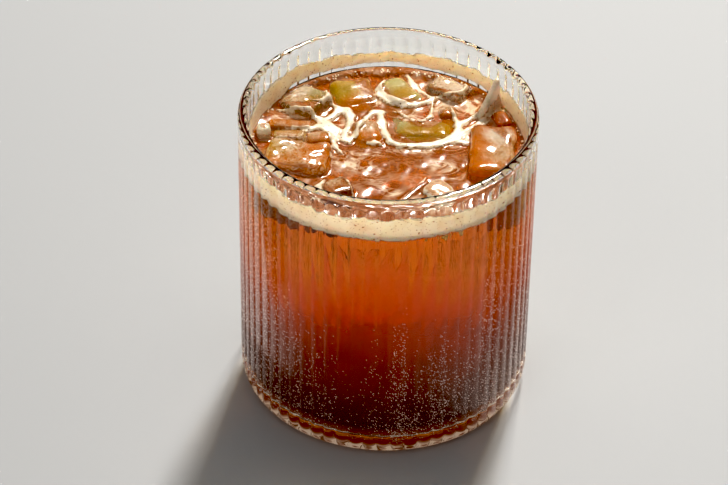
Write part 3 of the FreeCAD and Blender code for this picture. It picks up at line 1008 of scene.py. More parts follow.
@dataclass
class ShadeAndGlowFill:
    """A cone-topped body inside the fill, below the ice, that carries painted shade and a painted red glow
    for the lower drink. Millimetres.
    """

    tumbler: Tumbler
    peak: float = 52.0
    shoulder: float = 11.0
    gap: float = 1.2
    steps: int = 96

    def build(self) -> bpy.types.Object:
        """Turns the body and returns the piece."""
        wide = self.tumbler.cavity - self.gap
        floor = self.tumbler.base + self.gap
        corner = self.tumbler.corner
        slope = [(wide * share, self.shoulder + (self.peak - self.shoulder) * (1 - share) ** 1.15)
                 for share in np.linspace(1, 0, 24)]
        profile = (
            [(0.0, floor)]
            + corner_round((wide - corner, floor + corner), corner, -90, 0, 6)
            + slope
        )
        piece = turned("coffee_deep_shade_and_glow", profile, self.steps, closed=False)
        return piece

    def dress(self, piece: bpy.types.Object, effects: Effects) -> None:
        """Gives the body its painted shade and painted glow."""
        piece.data.materials.append(ShadeAndGlowCoffee().material(effects))


@dataclass
class ShadeAndGlowShell:
    """A thin shell just inside the side of the drink that carries painted shade, darker towards the foot,
    and a painted glow. Millimetres.
    """

    tumbler: Tumbler
    top: float = 70.0
    gap: float = 0.25
    thick: float = 0.2
    steps: int = 132

    def build(self) -> bpy.types.Object:
        """Turns the shell, keeps its height with it, and returns the piece."""
        outer = self.tumbler.cavity - self.gap
        base = self.tumbler.base + self.gap
        corner = self.tumbler.corner
        heights = np.linspace(base + corner + 1.5, self.top, 36)
        profile = (
            corner_round((outer - corner, base + corner), corner, -70, 0, 7)
            + [(outer, z) for z in heights]
            + [(outer - self.thick, z) for z in heights[::-1]]
            + corner_round((outer - corner, base + corner), corner - self.thick, 0, -70, 7)
        )
        piece = turned("coffee_shade_and_glow_shell", profile, self.steps)
        points = points_of(piece) / MM
        height = (points[:, 2] - base) / (self.top - base)
        middle = np.array([0.0, 0.0, base + corner])
        from_middle = points - middle
        across = np.hypot(from_middle[:, 0], from_middle[:, 1])
        rounded = np.hypot(across - (outer - corner), np.minimum(from_middle[:, 2], 0.0)) - corner
        inner = rounded < -self.thick / 2
        add_mask(piece, "height", np.where(inner, 1.0, height))
        return piece

    def dress(self, piece: bpy.types.Object, effects: Effects) -> None:
        """Gives the shell its painted shade and painted glow."""
        piece.data.materials.append(FootShadeAndGlow().material(effects))


@dataclass
class FootLightRing:
    """A glowing ring of painted light in the thick foot of the glass, where it catches the light.
    Millimetres.
    """

    tumbler: Tumbler
    clearance: float = 0.15
    thick: float = 0.2
    inset: float = 0.4
    steps: int = 198

    def build(self) -> bpy.types.Object:
        """Turns the ring just above the foot's underside and returns the piece."""
        low = self.clearance
        high = low + self.thick
        inner = self.tumbler.punt + self.inset
        outer = self.tumbler.valley - self.tumbler.heel + self.inset
        profile = [(inner, low), (outer, low), (outer, high), (inner, high)]
        piece = turned("foot_light_ring", profile, self.steps)
        return piece

    def dress(self, piece: bpy.types.Object, effects: Effects) -> None:
        """Gives the ring its painted light."""
        piece.data.materials.append(FootLight().material(effects))


@dataclass(frozen=True)
class Dab:
    """A dab of paint: its middle and reach in millimetres, its tone, and how frosty it is."""

    x: float
    y: float
    reach: float
    tone: Tone
    frost: float = 0.0


PAINT: tuple[Dab, ...] = (
    Dab(-20.0, 24.0, 3.0, Tone.SAGE, 0.2), Dab(-21.5, 18.5, 2.4, Tone.GOLD, 0.1),
    Dab(-27.0, 21.0, 3.5, Tone.TAN, 0.9), Dab(-23.0, 26.0, 3.0, Tone.FROST, 0.9),
    Dab(-13.0, 27.0, 4.0, Tone.OLIVE), Dab(-8.0, 19.0, 4.0, Tone.ORANGE),
    Dab(-5.0, 26.0, 3.4, Tone.TAN, 0.5), Dab(-12.0, 31.0, 3.0, Tone.GOLD, 0.3),
    Dab(2.0, 30.5, 3.4, Tone.SAGE), Dab(4.5, 25.0, 3.0, Tone.GOLD), Dab(9.0, 25.0, 2.4, Tone.SAGE, 0.2),
    Dab(15.0, 29.0, 5.0, Tone.TAN, 0.9), Dab(19.0, 26.0, 2.5, Tone.FROST, 1.0),
    Dab(3.0, 11.0, 2.4, Tone.SAGE, 0.2), Dab(7.0, 8.0, 3.0, Tone.GOLD), Dab(16.0, 9.0, 3.2, Tone.GOLD),
    Dab(17.0, 15.0, 2.2, Tone.ORANGE), Dab(15.5, 18.0, 2.0, Tone.TAN, 0.6),
    Dab(-6.0, 8.5, 2.2, Tone.TAN, 0.3), Dab(-2.2, 4.0, 2.4, Tone.ORANGE), Dab(-7.0, 4.0, 2.2, Tone.AMBER),
    Dab(-20.0, 4.5, 1.8, Tone.TAN, 0.5), Dab(-18.5, 1.0, 3.0, Tone.ORANGE),
    Dab(-27.0, 0.0, 3.2, Tone.TAN, 1.0), Dab(-31.0, -2.0, 2.6, Tone.GOLD, 0.4),
    Dab(-22.0, -9.0, 3.0, Tone.AMBER, 0.5), Dab(-19.0, -4.0, 3.4, Tone.ORANGE, 0.1),
    Dab(23.5, -3.0, 4.0, Tone.ORANGE), Dab(23.5, -11.0, 4.0, Tone.ORANGE),
    Dab(30.5, 3.0, 2.6, Tone.FROST, 0.6), Dab(31.0, -5.0, 4.0, Tone.TAN, 0.35),
    Dab(33.0, 9.0, 4.0, Tone.RUST), Dab(-15.5, -16.0, 1.8, Tone.TAN, 0.5),
)


def paint_dabs(piece: bpy.types.Object, tone: Tone, frost: float, hold: float) -> None:
    """Paints a piece with its own tone and the dabs that fall on it.

    Args:
        piece: the piece to paint.
        tone: its own tone.
        frost: how frosty it is, away from the dabs.
        hold: how strongly its own tone holds against the dabs.
    """
    points = points_of(piece) / MM
    weight = np.full(len(points), hold)
    colour = np.outer(weight, tone.value)
    rime = weight * frost
    for dab in PAINT:
        share = np.exp(-((points[:, 0] - dab.x) ** 2 + (points[:, 1] - dab.y) ** 2) / dab.reach ** 2)
        colour += np.outer(share, dab.tone.value)
        rime += share * dab.frost
        weight += share
    shades = np.hstack([colour / weight[:, None], np.ones((len(points), 1))])
    layer = piece.data.color_attributes.new("paint", "FLOAT_COLOR", "POINT")
    layer.data.foreach_set("color", shades.ravel())
    add_mask(piece, "frost", rime / weight)


@dataclass(frozen=True)
class Lump:
    """How a block of ice has melted: its tone, its frost, and how far it bulges, in millimetres."""

    tone: Tone
    frost: float = 0.1
    bulge: float = 1.3
    crust: float = 0.0
    rise: float = 0.7
    clear: bool = False
    hold: float = 0.12


@dataclass
class IceHeap:
    """The lumps of ice that stand out of the coffee, each melted from its plain block."""

    level: float
    voxel: float = 0.42

    LUMPS = {
        "ice_chip": Lump(Tone.FROST, 0.5, 0.5, rise=1.0, hold=0.9),
        "ice_back_left": Lump(Tone.GOLD, 0.3, 1.6, 0.8, rise=0.8, clear=True, hold=0.5),
        "ice_back_middle": Lump(Tone.OLIVE, 0.1, 1.6, rise=0.8),
        "ice_clear": Lump(Tone.OLIVE, 0.05, 1.0, rise=0.6),
        "ice_back_right": Lump(Tone.TAN, 0.4, 1.6, 0.5, rise=0.7, clear=True, hold=0.5),
        "ice_red": Lump(Tone.RUST, 0.2, 1.0),
        "ice_olive": Lump(Tone.OLIVE, 0.03, 1.0, rise=0.6),
        "ice_middle": Lump(Tone.AMBER, 0.1, 1.2, rise=0.8),
        "ice_right": Lump(Tone.ORANGE, 0.12, 2.0, rise=0.8),
        "ice_right_edge": Lump(Tone.RUST, 0.1, 1.2, rise=0.8),
        "ice_bar_back": Lump(Tone.AMBER, 0.25, 0.9),
        "ice_bar_front": Lump(Tone.GOLD, 0.15, 0.9),
        "ice_left_small": Lump(Tone.AMBER, 0.15, 1.6),
        "ice_front_left": Lump(Tone.AMBER, 0.4, 2.0, 0.7, rise=0.7),
        "ice_left_edge": Lump(Tone.RUST, 0.2, 0.9),
        "ice_front_dark": Lump(Tone.DARK_RED, 0.1, 1.2),
        "ice_front_plate": Lump(Tone.RUST, 0.2, 0.3),
        "ice_front_white": Lump(Tone.FROST, 0.7, 1.6, 0.8, rise=0.45, hold=0.9),
        "ice_shard": Lump(Tone.FROST, 0.4, 0.4, rise=1.0, hold=0.9),
    }

    def melt(self, node: str, lump: Lump) -> bpy.types.Object:
        """Copies a lump's plain block and melts it into an uneven, rounded lump.

        Args:
            node: the block's name.
            lump: how it has melted.

        Returns:
            The melted piece.
        """
        piece = copy_of_block(node, node.replace("ice_", "lump_"))
        thin = min(piece.dimensions) < 4 * MM
        apply_modifier(piece, "REMESH", mode="VOXEL", voxel_size=(0.22 if thin else self.voxel) * MM)
        apply_modifier(piece, "SMOOTH", factor=0.5, iterations=2 if thin else 10)
        swell = cloud_texture(node + "_melt", 6.5, 1)
        apply_modifier(piece, "DISPLACE", texture=swell, texture_coords="LOCAL",
                       strength=lump.bulge * MM, mid_level=0.3)
        if lump.crust:
            crust = cloud_texture(node + "_crust", 1.7, 2)
            apply_modifier(piece, "DISPLACE", texture=crust, texture_coords="LOCAL",
                           strength=lump.crust * MM, mid_level=0.5)
        apply_modifier(piece, "SMOOTH", factor=0.5, iterations=2)
        points = points_of(piece) / MM
        proud = points[:, 2] > self.level
        points[proud, 2] = self.level + (points[proud, 2] - self.level) * lump.rise
        set_points(piece, points * MM)
        smooth_shade(piece)
        return piece

    def build(self) -> list[bpy.types.Object]:
        """Melts and paints every lump and returns the pieces."""
        pieces = []
        for node, lump in self.LUMPS.items():
            piece = self.melt(node, lump)
            paint_dabs(piece, lump.tone, lump.frost, lump.hold)
            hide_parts(node)
            pieces.append(piece)
        return pieces

    def dress(self, pieces: Sequence[bpy.types.Object], effects: Effects) -> None:
        """Gives each lump its kind of ice."""
        dark = WetIce().material(effects)
        # Clear ice: more see-through, with a weaker painted glow.
        clear = WetIce(name="clear_ice", clearness=0.72, painted_glow=0.06).material(effects)
        for piece, lump in zip(pieces, self.LUMPS.values()):
            piece.data.materials.append(clear if lump.clear else dark)


@dataclass
class SunkIce:
    """Cubes of ice under the surface, seen through the coffee. Millimetres and degrees."""

    level: float
    places: tuple[tuple[float, float, float, float, float], ...] = (
        (20.0, -16.0, 24.0, 20.0, 15.0), (-4.0, -18.0, 26.0, 50.0, 16.0), (-22.0, -4.0, 25.0, 10.0, 16.0),
        (20.0, 14.0, 26.0, 35.0, 17.0), (-4.0, 20.0, 30.0, 15.0, 16.0),
    )

    def build(self) -> list[bpy.types.Object]:
        """Models one cube per place, melted a little, and returns the pieces."""
        pieces = []
        for number, (x, y, depth, turn, size) in enumerate(self.places, start=1):
            bpy.ops.object.select_all(action="DESELECT")
            bpy.ops.mesh.primitive_cube_add(size=size * MM, rotation=(0.3, 0.2, math.radians(turn)),
                                            location=(x * MM, y * MM, (self.level - depth) * MM))
            piece = bpy.context.object
            piece.name = "sunk_cube_%d" % number
            bpy.ops.object.transform_apply(location=True, rotation=True, scale=True)

            def work() -> None:
                """Edit-mode steps."""
                bpy.ops.mesh.bevel(offset=size * 0.16 * MM, segments=3, affect="EDGES")
                bpy.ops.mesh.subdivide(number_cuts=2)

            in_edit_mode(piece, work)
            melt = bpy.data.textures.new(piece.name, "CLOUDS")
            melt.noise_scale = 7 * MM
            apply_modifier(piece, "DISPLACE", texture=melt, texture_coords="LOCAL", strength=2.2 * MM,
                           mid_level=0.5)
            apply_modifier(piece, "SUBSURF", levels=1, render_levels=1)
            smooth_shade(piece)
            pieces.append(piece)
        return pieces

    def dress(self, pieces: Sequence[bpy.types.Object], effects: Effects) -> None:
        """Gives the cubes their finish."""
        material = SunkIceFinish().material(effects)
        for piece in pieces:
            piece.data.materials.append(material)


Route = tuple[tuple[float, float, float], ...]

# How sharply two strands part where they meet, per millimetre: lower runs them together more.
CLING = 2.2


def depth_inside(x: np.ndarray, y: np.ndarray, routes: Sequence[Route]) -> np.ndarray:
    """How deep each place lies inside the nearest of some strands; below 0 outside them.

    Args:
        x: places across, in millimetres.
        y: places along, in millimetres.
        routes: (x, y, width) points of each strand, in millimetres.

    Returns:
        Depths in millimetres.
    """
    mass = np.full(x.shape, 1e-12)
    for route in routes:
        for (ax, ay, aw), (bx, by, bw) in zip(route, route[1:]):
            run = (bx - ax) ** 2 + (by - ay) ** 2
            share = np.clip(((x - ax) * (bx - ax) + (y - ay) * (by - ay)) / run, 0, 1)
            away = np.hypot(x - ax - share * (bx - ax), y - ay - share * (by - ay))
            mass += np.exp(((aw + share * (bw - aw)) / 2 - away) * CLING)
    return np.log(mass) / CLING


@dataclass
class SurfaceSheet:
    """The foam web and the milky film: one thin sheet draped over the coffee and the ice. Millimetres."""

    tumbler: Tumbler
    coffee: Coffee
    grid: int = 250
    lift: float = 0.08
    foam_height: float = 0.7
    spread: float = 0.1
    hold: float = 0.12

    STRANDS: tuple[Route, ...] = (
        ((-30.6, 17.3, 0.7), (-26, 15.4, 1.0), (-22, 14.4, 1.1), (-19, 13.4, 1.6), (-17.6, 11, 2.6)),
        ((-18.6, 12, 1.6), (-15.6, 14.6, 1.6), (-13.8, 17, 2.0), (-11.6, 17.4, 2.2), (-10.4, 14.8, 2.3),
         (-10.4, 11.4, 1.8), (-11.6, 7.4, 1.7), (-12.2, 4, 1.9), (-11, 3.2, 1.7), (-9.3, 5, 1.4),
         (-7.6, 9.4, 1.2), (-6, 14, 1.3), (-4, 16.6, 1.6), (-1.6, 16.8, 1.9)),
        ((-2.2, 16.8, 1.6), (-1.8, 11.6, 2.3), (-0.6, 6.2, 1.8), (0.6, 2.8, 1.5), (3, 1.5, 1.6),
         (6.4, 1.3, 1.9), (10.6, 1.8, 2.2), (14.4, 2.8, 2.6), (17.4, 4.6, 2.6), (19.3, 7.6, 2.2),
         (19.6, 11, 1.7), (18.4, 15, 1.0), (17.4, 17.8, 0.5)),
        ((-19.4, 9.6, 2.0), (-16.6, 8.6, 3.4), (-15.2, 4, 1.6), (-14.6, 0.4, 1.3), (-12.6, -2.4, 0.8)),
        ((-16.4, 11.6, 1.0), (-14, 8, 1.6), (-14.4, 4, 1.2)),
        ((-31.5, 8.5, 0.3), (-26, 8.1, 0.35), (-21, 8.2, 0.8), (-18.6, 9.6, 1.4)),
        ((-32.4, 3.9, 0.3), (-29.3, 3.5, 0.3), (-23.6, 3.5, 0.35), (-23.2, 6.9, 0.35), (-20.6, 8.4, 0.8)),
        ((-0.9, 31.4, 0.7), (-2.7, 27.4, 1.4), (-2.2, 24.8, 2.2), (0.6, 21.9, 2.3), (4, 20.3, 1.8),
         (7.7, 20.5, 1.6), (10.8, 21.6, 1.2), (12.6, 23.1, 0.9)),
        ((5.4, 34.4, 1.0), (7.2, 29.4, 1.8), (9.5, 26.4, 1.1), (12.6, 23.1, 0.5)),
        ((12.6, 23, 0.5), (12.2, 18.5, 0.6), (11.8, 14.8, 1.2), (9.5, 12.4, 0.9), (6.8, 13.2, 0.5),
         (4.5, 15.6, 0.35), (1.6, 17.6, 0.3)),
        ((13, 23.8, 0.5), (17.1, 23.3, 0.6), (20.7, 24, 0.7), (22, 26, 0.8), (21.4, 28.4, 0.5)),
        ((19.4, 10.8, 1.6), (21.2, 12.8, 1.6), (23.9, 15.2, 1.2), (25.7, 18.2, 0.6)),
        ((18.9, 5.4, 0.6), (22, 9.6, 0.5), (25.2, 12.8, 0.45), (28.4, 16, 0.4), (31.5, 20.4, 0.35)),
        ((17.2, 4, 1.2), (19.8, 5.2, 0.8), (23, 8.6, 0.5), (25.7, 11.2, 0.4), (29.3, 15.2, 0.3)),
        ((24.2, 9.8, 0.3), (23.6, 11.2, 0.3)), ((25.4, 11, 0.3), (24.8, 12.4, 0.3)),
        ((26.6, 12.4, 0.3), (26, 13.6, 0.3)),
        ((19.4, 3.4, 1.8), (21.4, 3, 1.4), (22, 6.9, 0.6), (24.3, 8.4, 0.35)),
        ((-17.4, 26.6, 0.7), (-16.5, 23.8, 1.1), (-16.4, 20.8, 1.1), (-18.5, 18.6, 0.7), (-21.6, 19, 0.3)),
        ((-16.4, 20.8, 0.9), (-14.2, 18.8, 0.8), (-12, 17.8, 1.0)),
        ((-17.2, -14.6, 0.8), (-18.6, -17.4, 1.6), (-17.8, -20.4, 1.0)),
        ((-13.8, -14, 0.2), (-10.6, -17, 0.25), (-9, -22.4, 0.3)),
        ((2.6, -24.4, 0.3), (10.4, -13, 0.25)),
        ((-5.4, 2.3, 0.9), (-3.4, 2.2, 1.3), (-1.8, 1.6, 0.6)),
    )
    WINDOWS: tuple[Route, ...] = (
        ((2.4, 13.4, 2.0), (4.2, 9.6, 4.4), (8.2, 6.6, 5), (12.4, 6.4, 5), (15.6, 8.4, 5.2), (17.2, 12, 4)),
        ((-4.6, 13, 1.4), (-5, 8.4, 5), (-5.4, 3.8, 7.6)),
        ((-32, 10.2, 2.4), (-20.6, 10.6, 2.6)), ((-32.2, 6, 3), (-24.6, 5.8, 3.2)),
        ((1.4, 30.4, 6), (4, 26.4, 6.6), (9, 24.6, 3.6)),
        ((-22.4, 3, 4), (-18.4, 3, 5)), ((-31, -4, 9), (-20, -6.4, 9)),
        ((26, 4, 6), (28, -4, 11), (26, -13, 9)), ((30.4, 17, 3), (33.6, 10, 5), (35, 3, 4)),
        ((-26, 22, 8), (-19, 22, 7)), ((-13, 28, 7), (-10, 22, 8), (-6, 18.6, 3)),
        ((14, 30, 7), (19, 27, 5)), ((16.6, 14.6, 3.6), (17.2, 17, 3)), ((-34.4, 5.4, 4), (-34, 5.4, 4)),
        ((-28, -15.4, 3), (-21, -19, 3)), ((-14, -17.6, 5), (-12.6, -19.6, 5.4)),
        ((26.4, 18, 4), (30, 19, 4)), ((12, -18, 6), (15, -20, 6)),
    )
    MILKY: tuple[Route, ...] = (
        ((-15, -3, 5), (-9, -3.4, 4), (-3, -1.4, 3)), ((0, -0.6, 2), (9, -0.4, 2.6), (19, 1, 2.4)),
        ((-22, -10, 3), (-14, -7, 4), (-5, -8, 4), (-3.4, -15, 3), (4, -22, 4), (14, -25, 5)),
        ((5, 16, 7), (10, 16, 6)), ((14, 20, 5), (26, 20, 9)), ((-8, 26, 3), (-2, 20, 3)),
        ((-30, 14, 4), (-20, 13.4, 3)), ((14, -7, 6), (18, -11, 6)), ((-16, 12, 6), (-14, 12, 5)),
    )

    def build(self, lumps: Sequence[bpy.types.Object]) -> bpy.types.Object:
        """Drapes the sheet over the coffee and the lumps and returns the piece.

        Args:
            lumps: the pieces of ice that stand out of the coffee.
        """
        reach = self.tumbler.cavity - 0.05
        bpy.ops.object.select_all(action="DESELECT")
        bpy.ops.mesh.primitive_grid_add(x_subdivisions=self.grid, y_subdivisions=self.grid,
                                        size=2 * reach * MM, location=(0, 0, self.coffee.level * MM))
        piece = bpy.context.object
        piece.name = "surface_foam"
        bpy.ops.object.transform_apply(location=True, rotation=True, scale=True)
        points = points_of(piece) / MM
        across = np.maximum(np.abs(points[:, 0]), np.abs(points[:, 1]))
        points[:, :2] *= (across / np.maximum(np.hypot(points[:, 0], points[:, 1]), 1e-9))[:, None]
        points[:, 2] = self.coffee.surface(points[:, 0], points[:, 1])
        trees = [BVHTree.FromObject(lump, bpy.context.evaluated_depsgraph_get()) for lump in lumps]
        for point in points:
            start = Vector((point[0] * MM, point[1] * MM, self.tumbler.height * MM))
            for tree in trees:
                place = tree.ray_cast(start, Vector((0, 0, -1)))[0]
                if place is not None:
                    point[2] = max(point[2], place.z / MM)
        set_points(piece, points * MM)
        apply_modifier(piece, "SMOOTH", factor=0.5, iterations=12)
        points = points_of(piece) / MM
        x, y = points[:, 0], points[:, 1]
        foam = depth_inside(x, y, self.STRANDS) + self.spread
        points[:, 2] += self.lift + self.foam_height * ease((foam + 0.35) / 1.1)
        set_points(piece, points * MM)
        paint_dabs(piece, Tone.AMBER, 0.2, self.hold)
        add_mask(piece, "foam", foam)
        add_mask(piece, "film", 1 - ease(depth_inside(x, y, self.WINDOWS) / 0.8 + 0.5))
        add_mask(piece, "milk", 0.35 + 0.65 * ease(depth_inside(x, y, self.MILKY) / 2.5 + 0.5))
        smooth_shade(piece)
        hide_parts("foam_web")
        return piece

    def dress(self, piece: bpy.types.Object, effects: Effects) -> None:
        """Gives the sheet its finish."""
        piece.data.materials.append(SurfaceSkin().material(effects))


@dataclass
class Foam:
    """The foam that clings to the wall, and the loose bubbles at its foot. Millimetres."""

    tumbler: Tumbler
    coffee: Coffee
    climb: float = 6.4
    thick: float = 0.9
    edge: float = 0.3
    into_wall: float = 0.1
    back_gap: float = 3.2
    steps: int = 360

    def top_edge(self, angle: np.ndarray) -> np.ndarray:
        """How far the band's uneven upper edge stands above the coffee at each angle."""
        swell = 0.5 * np.sin(3 * angle + 0.7) + 0.4 * np.sin(5 * angle + 2.0)
        lace = 0.25 * np.sin(17 * angle) + 0.18 * np.sin(29 * angle + 1.0) + 0.1 * np.sin(53 * angle)
        return self.climb + swell + lace

    def build_band(self) -> bpy.types.Object:
        """The band that clings to the wall just above the coffee."""
        outer = self.tumbler.cavity + self.into_wall
        rows = np.linspace(0, 1, 14)
        profile = [(outer, z) for z in rows] + [(outer - 0.5, z) for z in rows[::-1]]
        piece = turned("foam_band", profile, self.steps)
        points = points_of(piece) / MM
        radius, angle = polar(points)
        share = points[:, 2].copy()
        low = -0.9 + 0.25 * np.sin(9 * angle) + 0.2 * np.sin(4 * angle + 1.0)
        low += self.back_gap * ease((np.sin(angle) - 0.45) / 0.3)
        inner = radius < outer - 0.2
        depth = self.edge + (self.thick - self.edge) * (1 - share) ** 1.3
        depth += 0.12 * np.sin(31 * angle + 9 * share) * (1 - share) + 0.08 * np.sin(67 * angle + 5 * share)
        target = np.where(inner, outer - depth, radius)
        points[:, :2] *= (target / radius)[:, None]
        points[:, 2] = self.coffee.level + low + share * (self.top_edge(angle) - low)
        set_points(piece, points * MM)
        add_mask(piece, "body", ease(share * 8) * ease((1 - share) * 4))
        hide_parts("foam_ring")
        return piece

    def build_bubbles(self, count: int = 260) -> bpy.types.Object:
        """Small bubbles at the foot of the band and along the foam: one ball copied, then joined."""
        dice = random.Random(11)
        balls = []
        for _ in range(count):
            angle = dice.uniform(0, 2 * math.pi)
            gap = self.thick + abs(dice.gauss(0, 0.8))
            x = (self.tumbler.cavity - gap) * math.cos(angle)
            y = (self.tumbler.cavity - gap) * math.sin(angle)
            size = dice.uniform(0.12, 0.34)
            z = float(self.coffee.surface(np.array([x]), np.array([y]))[0])
            balls.append((x, y, z + size * 0.2, size))
        return scattered_balls("foam_bubbles", balls)

    def dress(self, pieces: Sequence[bpy.types.Object], effects: Effects) -> None:
        """Gives the foam its finish: the band lacy, the rest whole."""
        whole = CoffeeFoam().material(effects)
        # The lacy band: paler, with a weaker painted glow.
        lacy = CoffeeFoam(name="lacy_foam", lacy=True, painted_glow=0.08, cream=(0.78, 0.68, 0.54),
                          tan=(0.72, 0.58, 0.42)).material(effects)
        for piece in pieces:
            piece.data.materials.append(lacy if piece.name == "foam_band" else whole)


def scattered_balls(name: str, balls: Sequence[tuple[float, float, float, float]],
                    fineness: int = 2) -> bpy.types.Object:
    """Many small balls as one mesh: one ball is modelled, and copied to each place.

    Args:
        name: the piece's name.
        balls: (x, y, z, radius) of each, in millimetres.
        fineness: how finely a ball is divided.

    Returns:
        The joined piece.
    """
    bpy.ops.object.select_all(action="DESELECT")
    bpy.ops.mesh.primitive_ico_sphere_add(subdivisions=fineness, radius=1.0, location=(0, 0, 0))
    piece = bpy.context.object
    piece.name = name
    ball = points_of(piece)
    faces = np.array([list(p.vertices) for p in piece.data.polygons])
    centres = np.array([b[:3] for b in balls])
    sizes = np.array([b[3] for b in balls])
    points = (ball[None] * sizes[:, None, None] + centres[:, None]) * MM
    shift = np.arange(len(balls)) * len(ball)
    every = (faces[None] + shift[:, None, None]).reshape(-1, 3)
    mesh = bpy.data.meshes.new(name)
    mesh.from_pydata(points.reshape(-1, 3).tolist(), [], every.tolist())
    piece.data = mesh
    smooth_shade(piece)
    return piece


@dataclass
class Condensation:
    """What the cold draws on to the outside of the glass: streaks of water beads, and mist that also
    carries a painted reflection. Millimetres.
    """

    tumbler: Tumbler
    count: int = 2600
    smallest: float = 0.06
    largest: float = 0.16
    rows: int = 62
    mist_low: float = 3.0
    mist_lift: float = 0.03
    mist_salt: float = 12.9898
    bead_salt: float = 78.233
    scatter: float = 43758.5453

    def streak(self, dice: random.Random) -> tuple[float, float, float]:
        """How thick, how low and how high one rib's streak of beads is."""
        return dice.random() ** 1.6, dice.uniform(3.5, 9.0), dice.uniform(16.0, 56.0)

    def build_beads(self) -> bpy.types.Object:
        """Scatters the beads down the ribs and returns them as one piece."""
        dice = random.Random(7)
        beads = []
        rib = 2 * math.pi / self.tumbler.ribs
        streaks = [self.streak(dice) for _ in range(self.tumbler.ribs)]
        while len(beads) < self.count:
            number = dice.randrange(self.tumbler.ribs)
            thickness, low, high = streaks[number]
            height = dice.uniform(low, high)
            if dice.random() > thickness * (1.15 - height / high):
                continue
            across = dice.random()
            angle = (number + across) * rib
            size = dice.uniform(self.smallest, self.largest) * (0.6 + 0.4 * dice.random())
            wall = float(self.tumbler.outer_radius(np.array([angle]), np.array([height]))[0])
            reach = wall - size * 0.35
            beads.append((reach * math.cos(angle), reach * math.sin(angle), height, size))
        return scattered_balls("water_beads", beads, fineness=1)

    def by_rib(self, angle: np.ndarray, salt: float) -> tuple[np.ndarray, np.ndarray, np.ndarray]:
        """Where places lie on their ribs.

        Args:
            angle: places round the glass, in radians.
            salt: picks the ribs' chances.

        Returns:
            Degrees from the front, places across the rib from -1 to 1, and each rib's own chance, 0 to 1.
        """
        turn = np.degrees(np.arctan2(np.cos(angle), -np.sin(angle)))
        ribs = angle * self.tumbler.ribs / (2 * math.pi)
        chance = np.abs(np.sin(np.floor(ribs) * salt) * self.scatter) % 1.0
        return turn, ribs % 1.0 * 2 - 1, chance

    def mist_and_sheen_mask(self, angle: np.ndarray, height: np.ndarray) -> np.ndarray:
        """How thick the mist and painted reflection are: bars up the left ribs that stand in for reflected
        light, and a bank low on the right.

        Args:
            angle: places round the glass, in radians.
            height: heights in millimetres.

        Returns:
            0 to 1 at each place.
        """
        turn, across, chance = self.by_rib(angle, self.mist_salt)
        bar = ease((0.75 - np.abs(across - 0.1)) * 2.2)
        left = ease((-turn - 33) / 30)
        tops = 42 + 20 * chance + 60 * ease((-turn - 52) / 10)
        bars = left * bar * ease((tops - height) / 14) * ease((height - 20) / 7) * (0.45 + 0.5 * chance)
        right = ease((turn - 24) / 42)
        bank = right * (0.35 + 0.65 * bar) * ease((66 - 24 * chance - height) / 44) * (0.45 + 0.5 * chance)
        edges = 0.5 * bar * ease((np.abs(turn) - 54) / 16) * ease((height - 4) / 10)
        front = ease((96 - np.abs(turn)) / 26)
        return np.clip(bars + bank + edges, 0, 0.7) * front

    def bead_mask(self, angle: np.ndarray, height: np.ndarray) -> np.ndarray:
        """How many of the fine beads show: most low down, in bands of ribs.

        Args:
            angle: places round the glass, in radians.
            height: heights in millimetres.

        Returns:
            0 to 1 at each place.
        """
        turn, across, chance = self.by_rib(angle, self.bead_salt)
        band = 0.25 + 0.75 * ease((turn + 6) / 10) + 0.5 * ease((-turn - 20) / 12)
        tops = 34 + 22 * chance + 40 * ease((np.abs(turn) - 28) / 30)
        fade = ease((tops - height) / 26) * ease((height - 4) / 3)
        flank = 0.4 + 0.6 * ease(np.abs(across + 0.2) * 1.6)
        front = 0.3 + 0.7 * ease((128 - np.abs(turn)) / 30)
        return np.clip(band * fade * flank * (0.3 + 0.75 * chance), 0, 0.85) * front

    def build_mist(self) -> bpy.types.Object:
        """A thin skin over the ribs that carries the mask of the mist and its painted reflection; its inner
        side lies in the glass.
        """
        top = self.tumbler.height - self.tumbler.lip_plain - self.tumbler.lip_slope
        heights = np.linspace(self.mist_low, top, self.rows)
        outside = self.tumbler.valley
        inside = outside - 0.4
        profile = [(outside, z) for z in heights] + [(inside, z) for z in heights[::-1]]
        piece = turned("wall_mist_and_sheen", profile, self.tumbler.ribs * self.tumbler.steps_per_rib)
        points = points_of(piece) / MM
        radius, angle = polar(points)
        skin = radius > outside - 0.1
        wall = self.tumbler.outer_radius(angle, points[:, 2]) + self.mist_lift
        points[:, :2] *= (np.where(skin, wall, radius) / radius)[:, None]
        set_points(piece, points * MM)
        add_mask(piece, "mist_and_sheen", np.where(skin, self.mist_and_sheen_mask(angle, points[:, 2]), 0.0))
        add_mask(piece, "beaded", np.where(skin, self.bead_mask(angle, points[:, 2]), 0.0))
        add_mask(piece, "around", angle * self.tumbler.radius)
        add_mask(piece, "height", points[:, 2])
        return piece

    def dress(self, beads: bpy.types.Object, mist_and_sheen: bpy.types.Object, effects: Effects) -> None:
        """Gives the beads, and the mist with its painted reflection, their finishes."""
        beads.data.materials.append(WaterDrops().material(effects))
        mist_and_sheen.data.materials.append(WallMistAndSheen().material(effects))


# ---------------------------------------------------------------- the stage


@dataclass(frozen=True)
class Lamp:
    """One soft lamp: its place, the point it faces, its width and height, and its strength."""

    name: str
    place: Colour
    aim: Colour
    width: float
    height: float
    watts: float
    colour: Colour = (1.0, 1.0, 1.0)

    def build(self) -> None:
        """Adds the lamp."""
        light = bpy.data.lights.new(self.name, "AREA")
        light.shape = "RECTANGLE"
        light.size = self.width
        light.size_y = self.height
        light.energy = self.watts
        light.color = self.colour
        lamp = bpy.data.objects.new(self.name, light)
        lamp.location = self.place
        lamp.rotation_euler = (Vector(self.aim) - Vector(self.place)).to_track_quat("-Z", "Y").to_euler()
        bpy.context.scene.collection.objects.link(lamp)


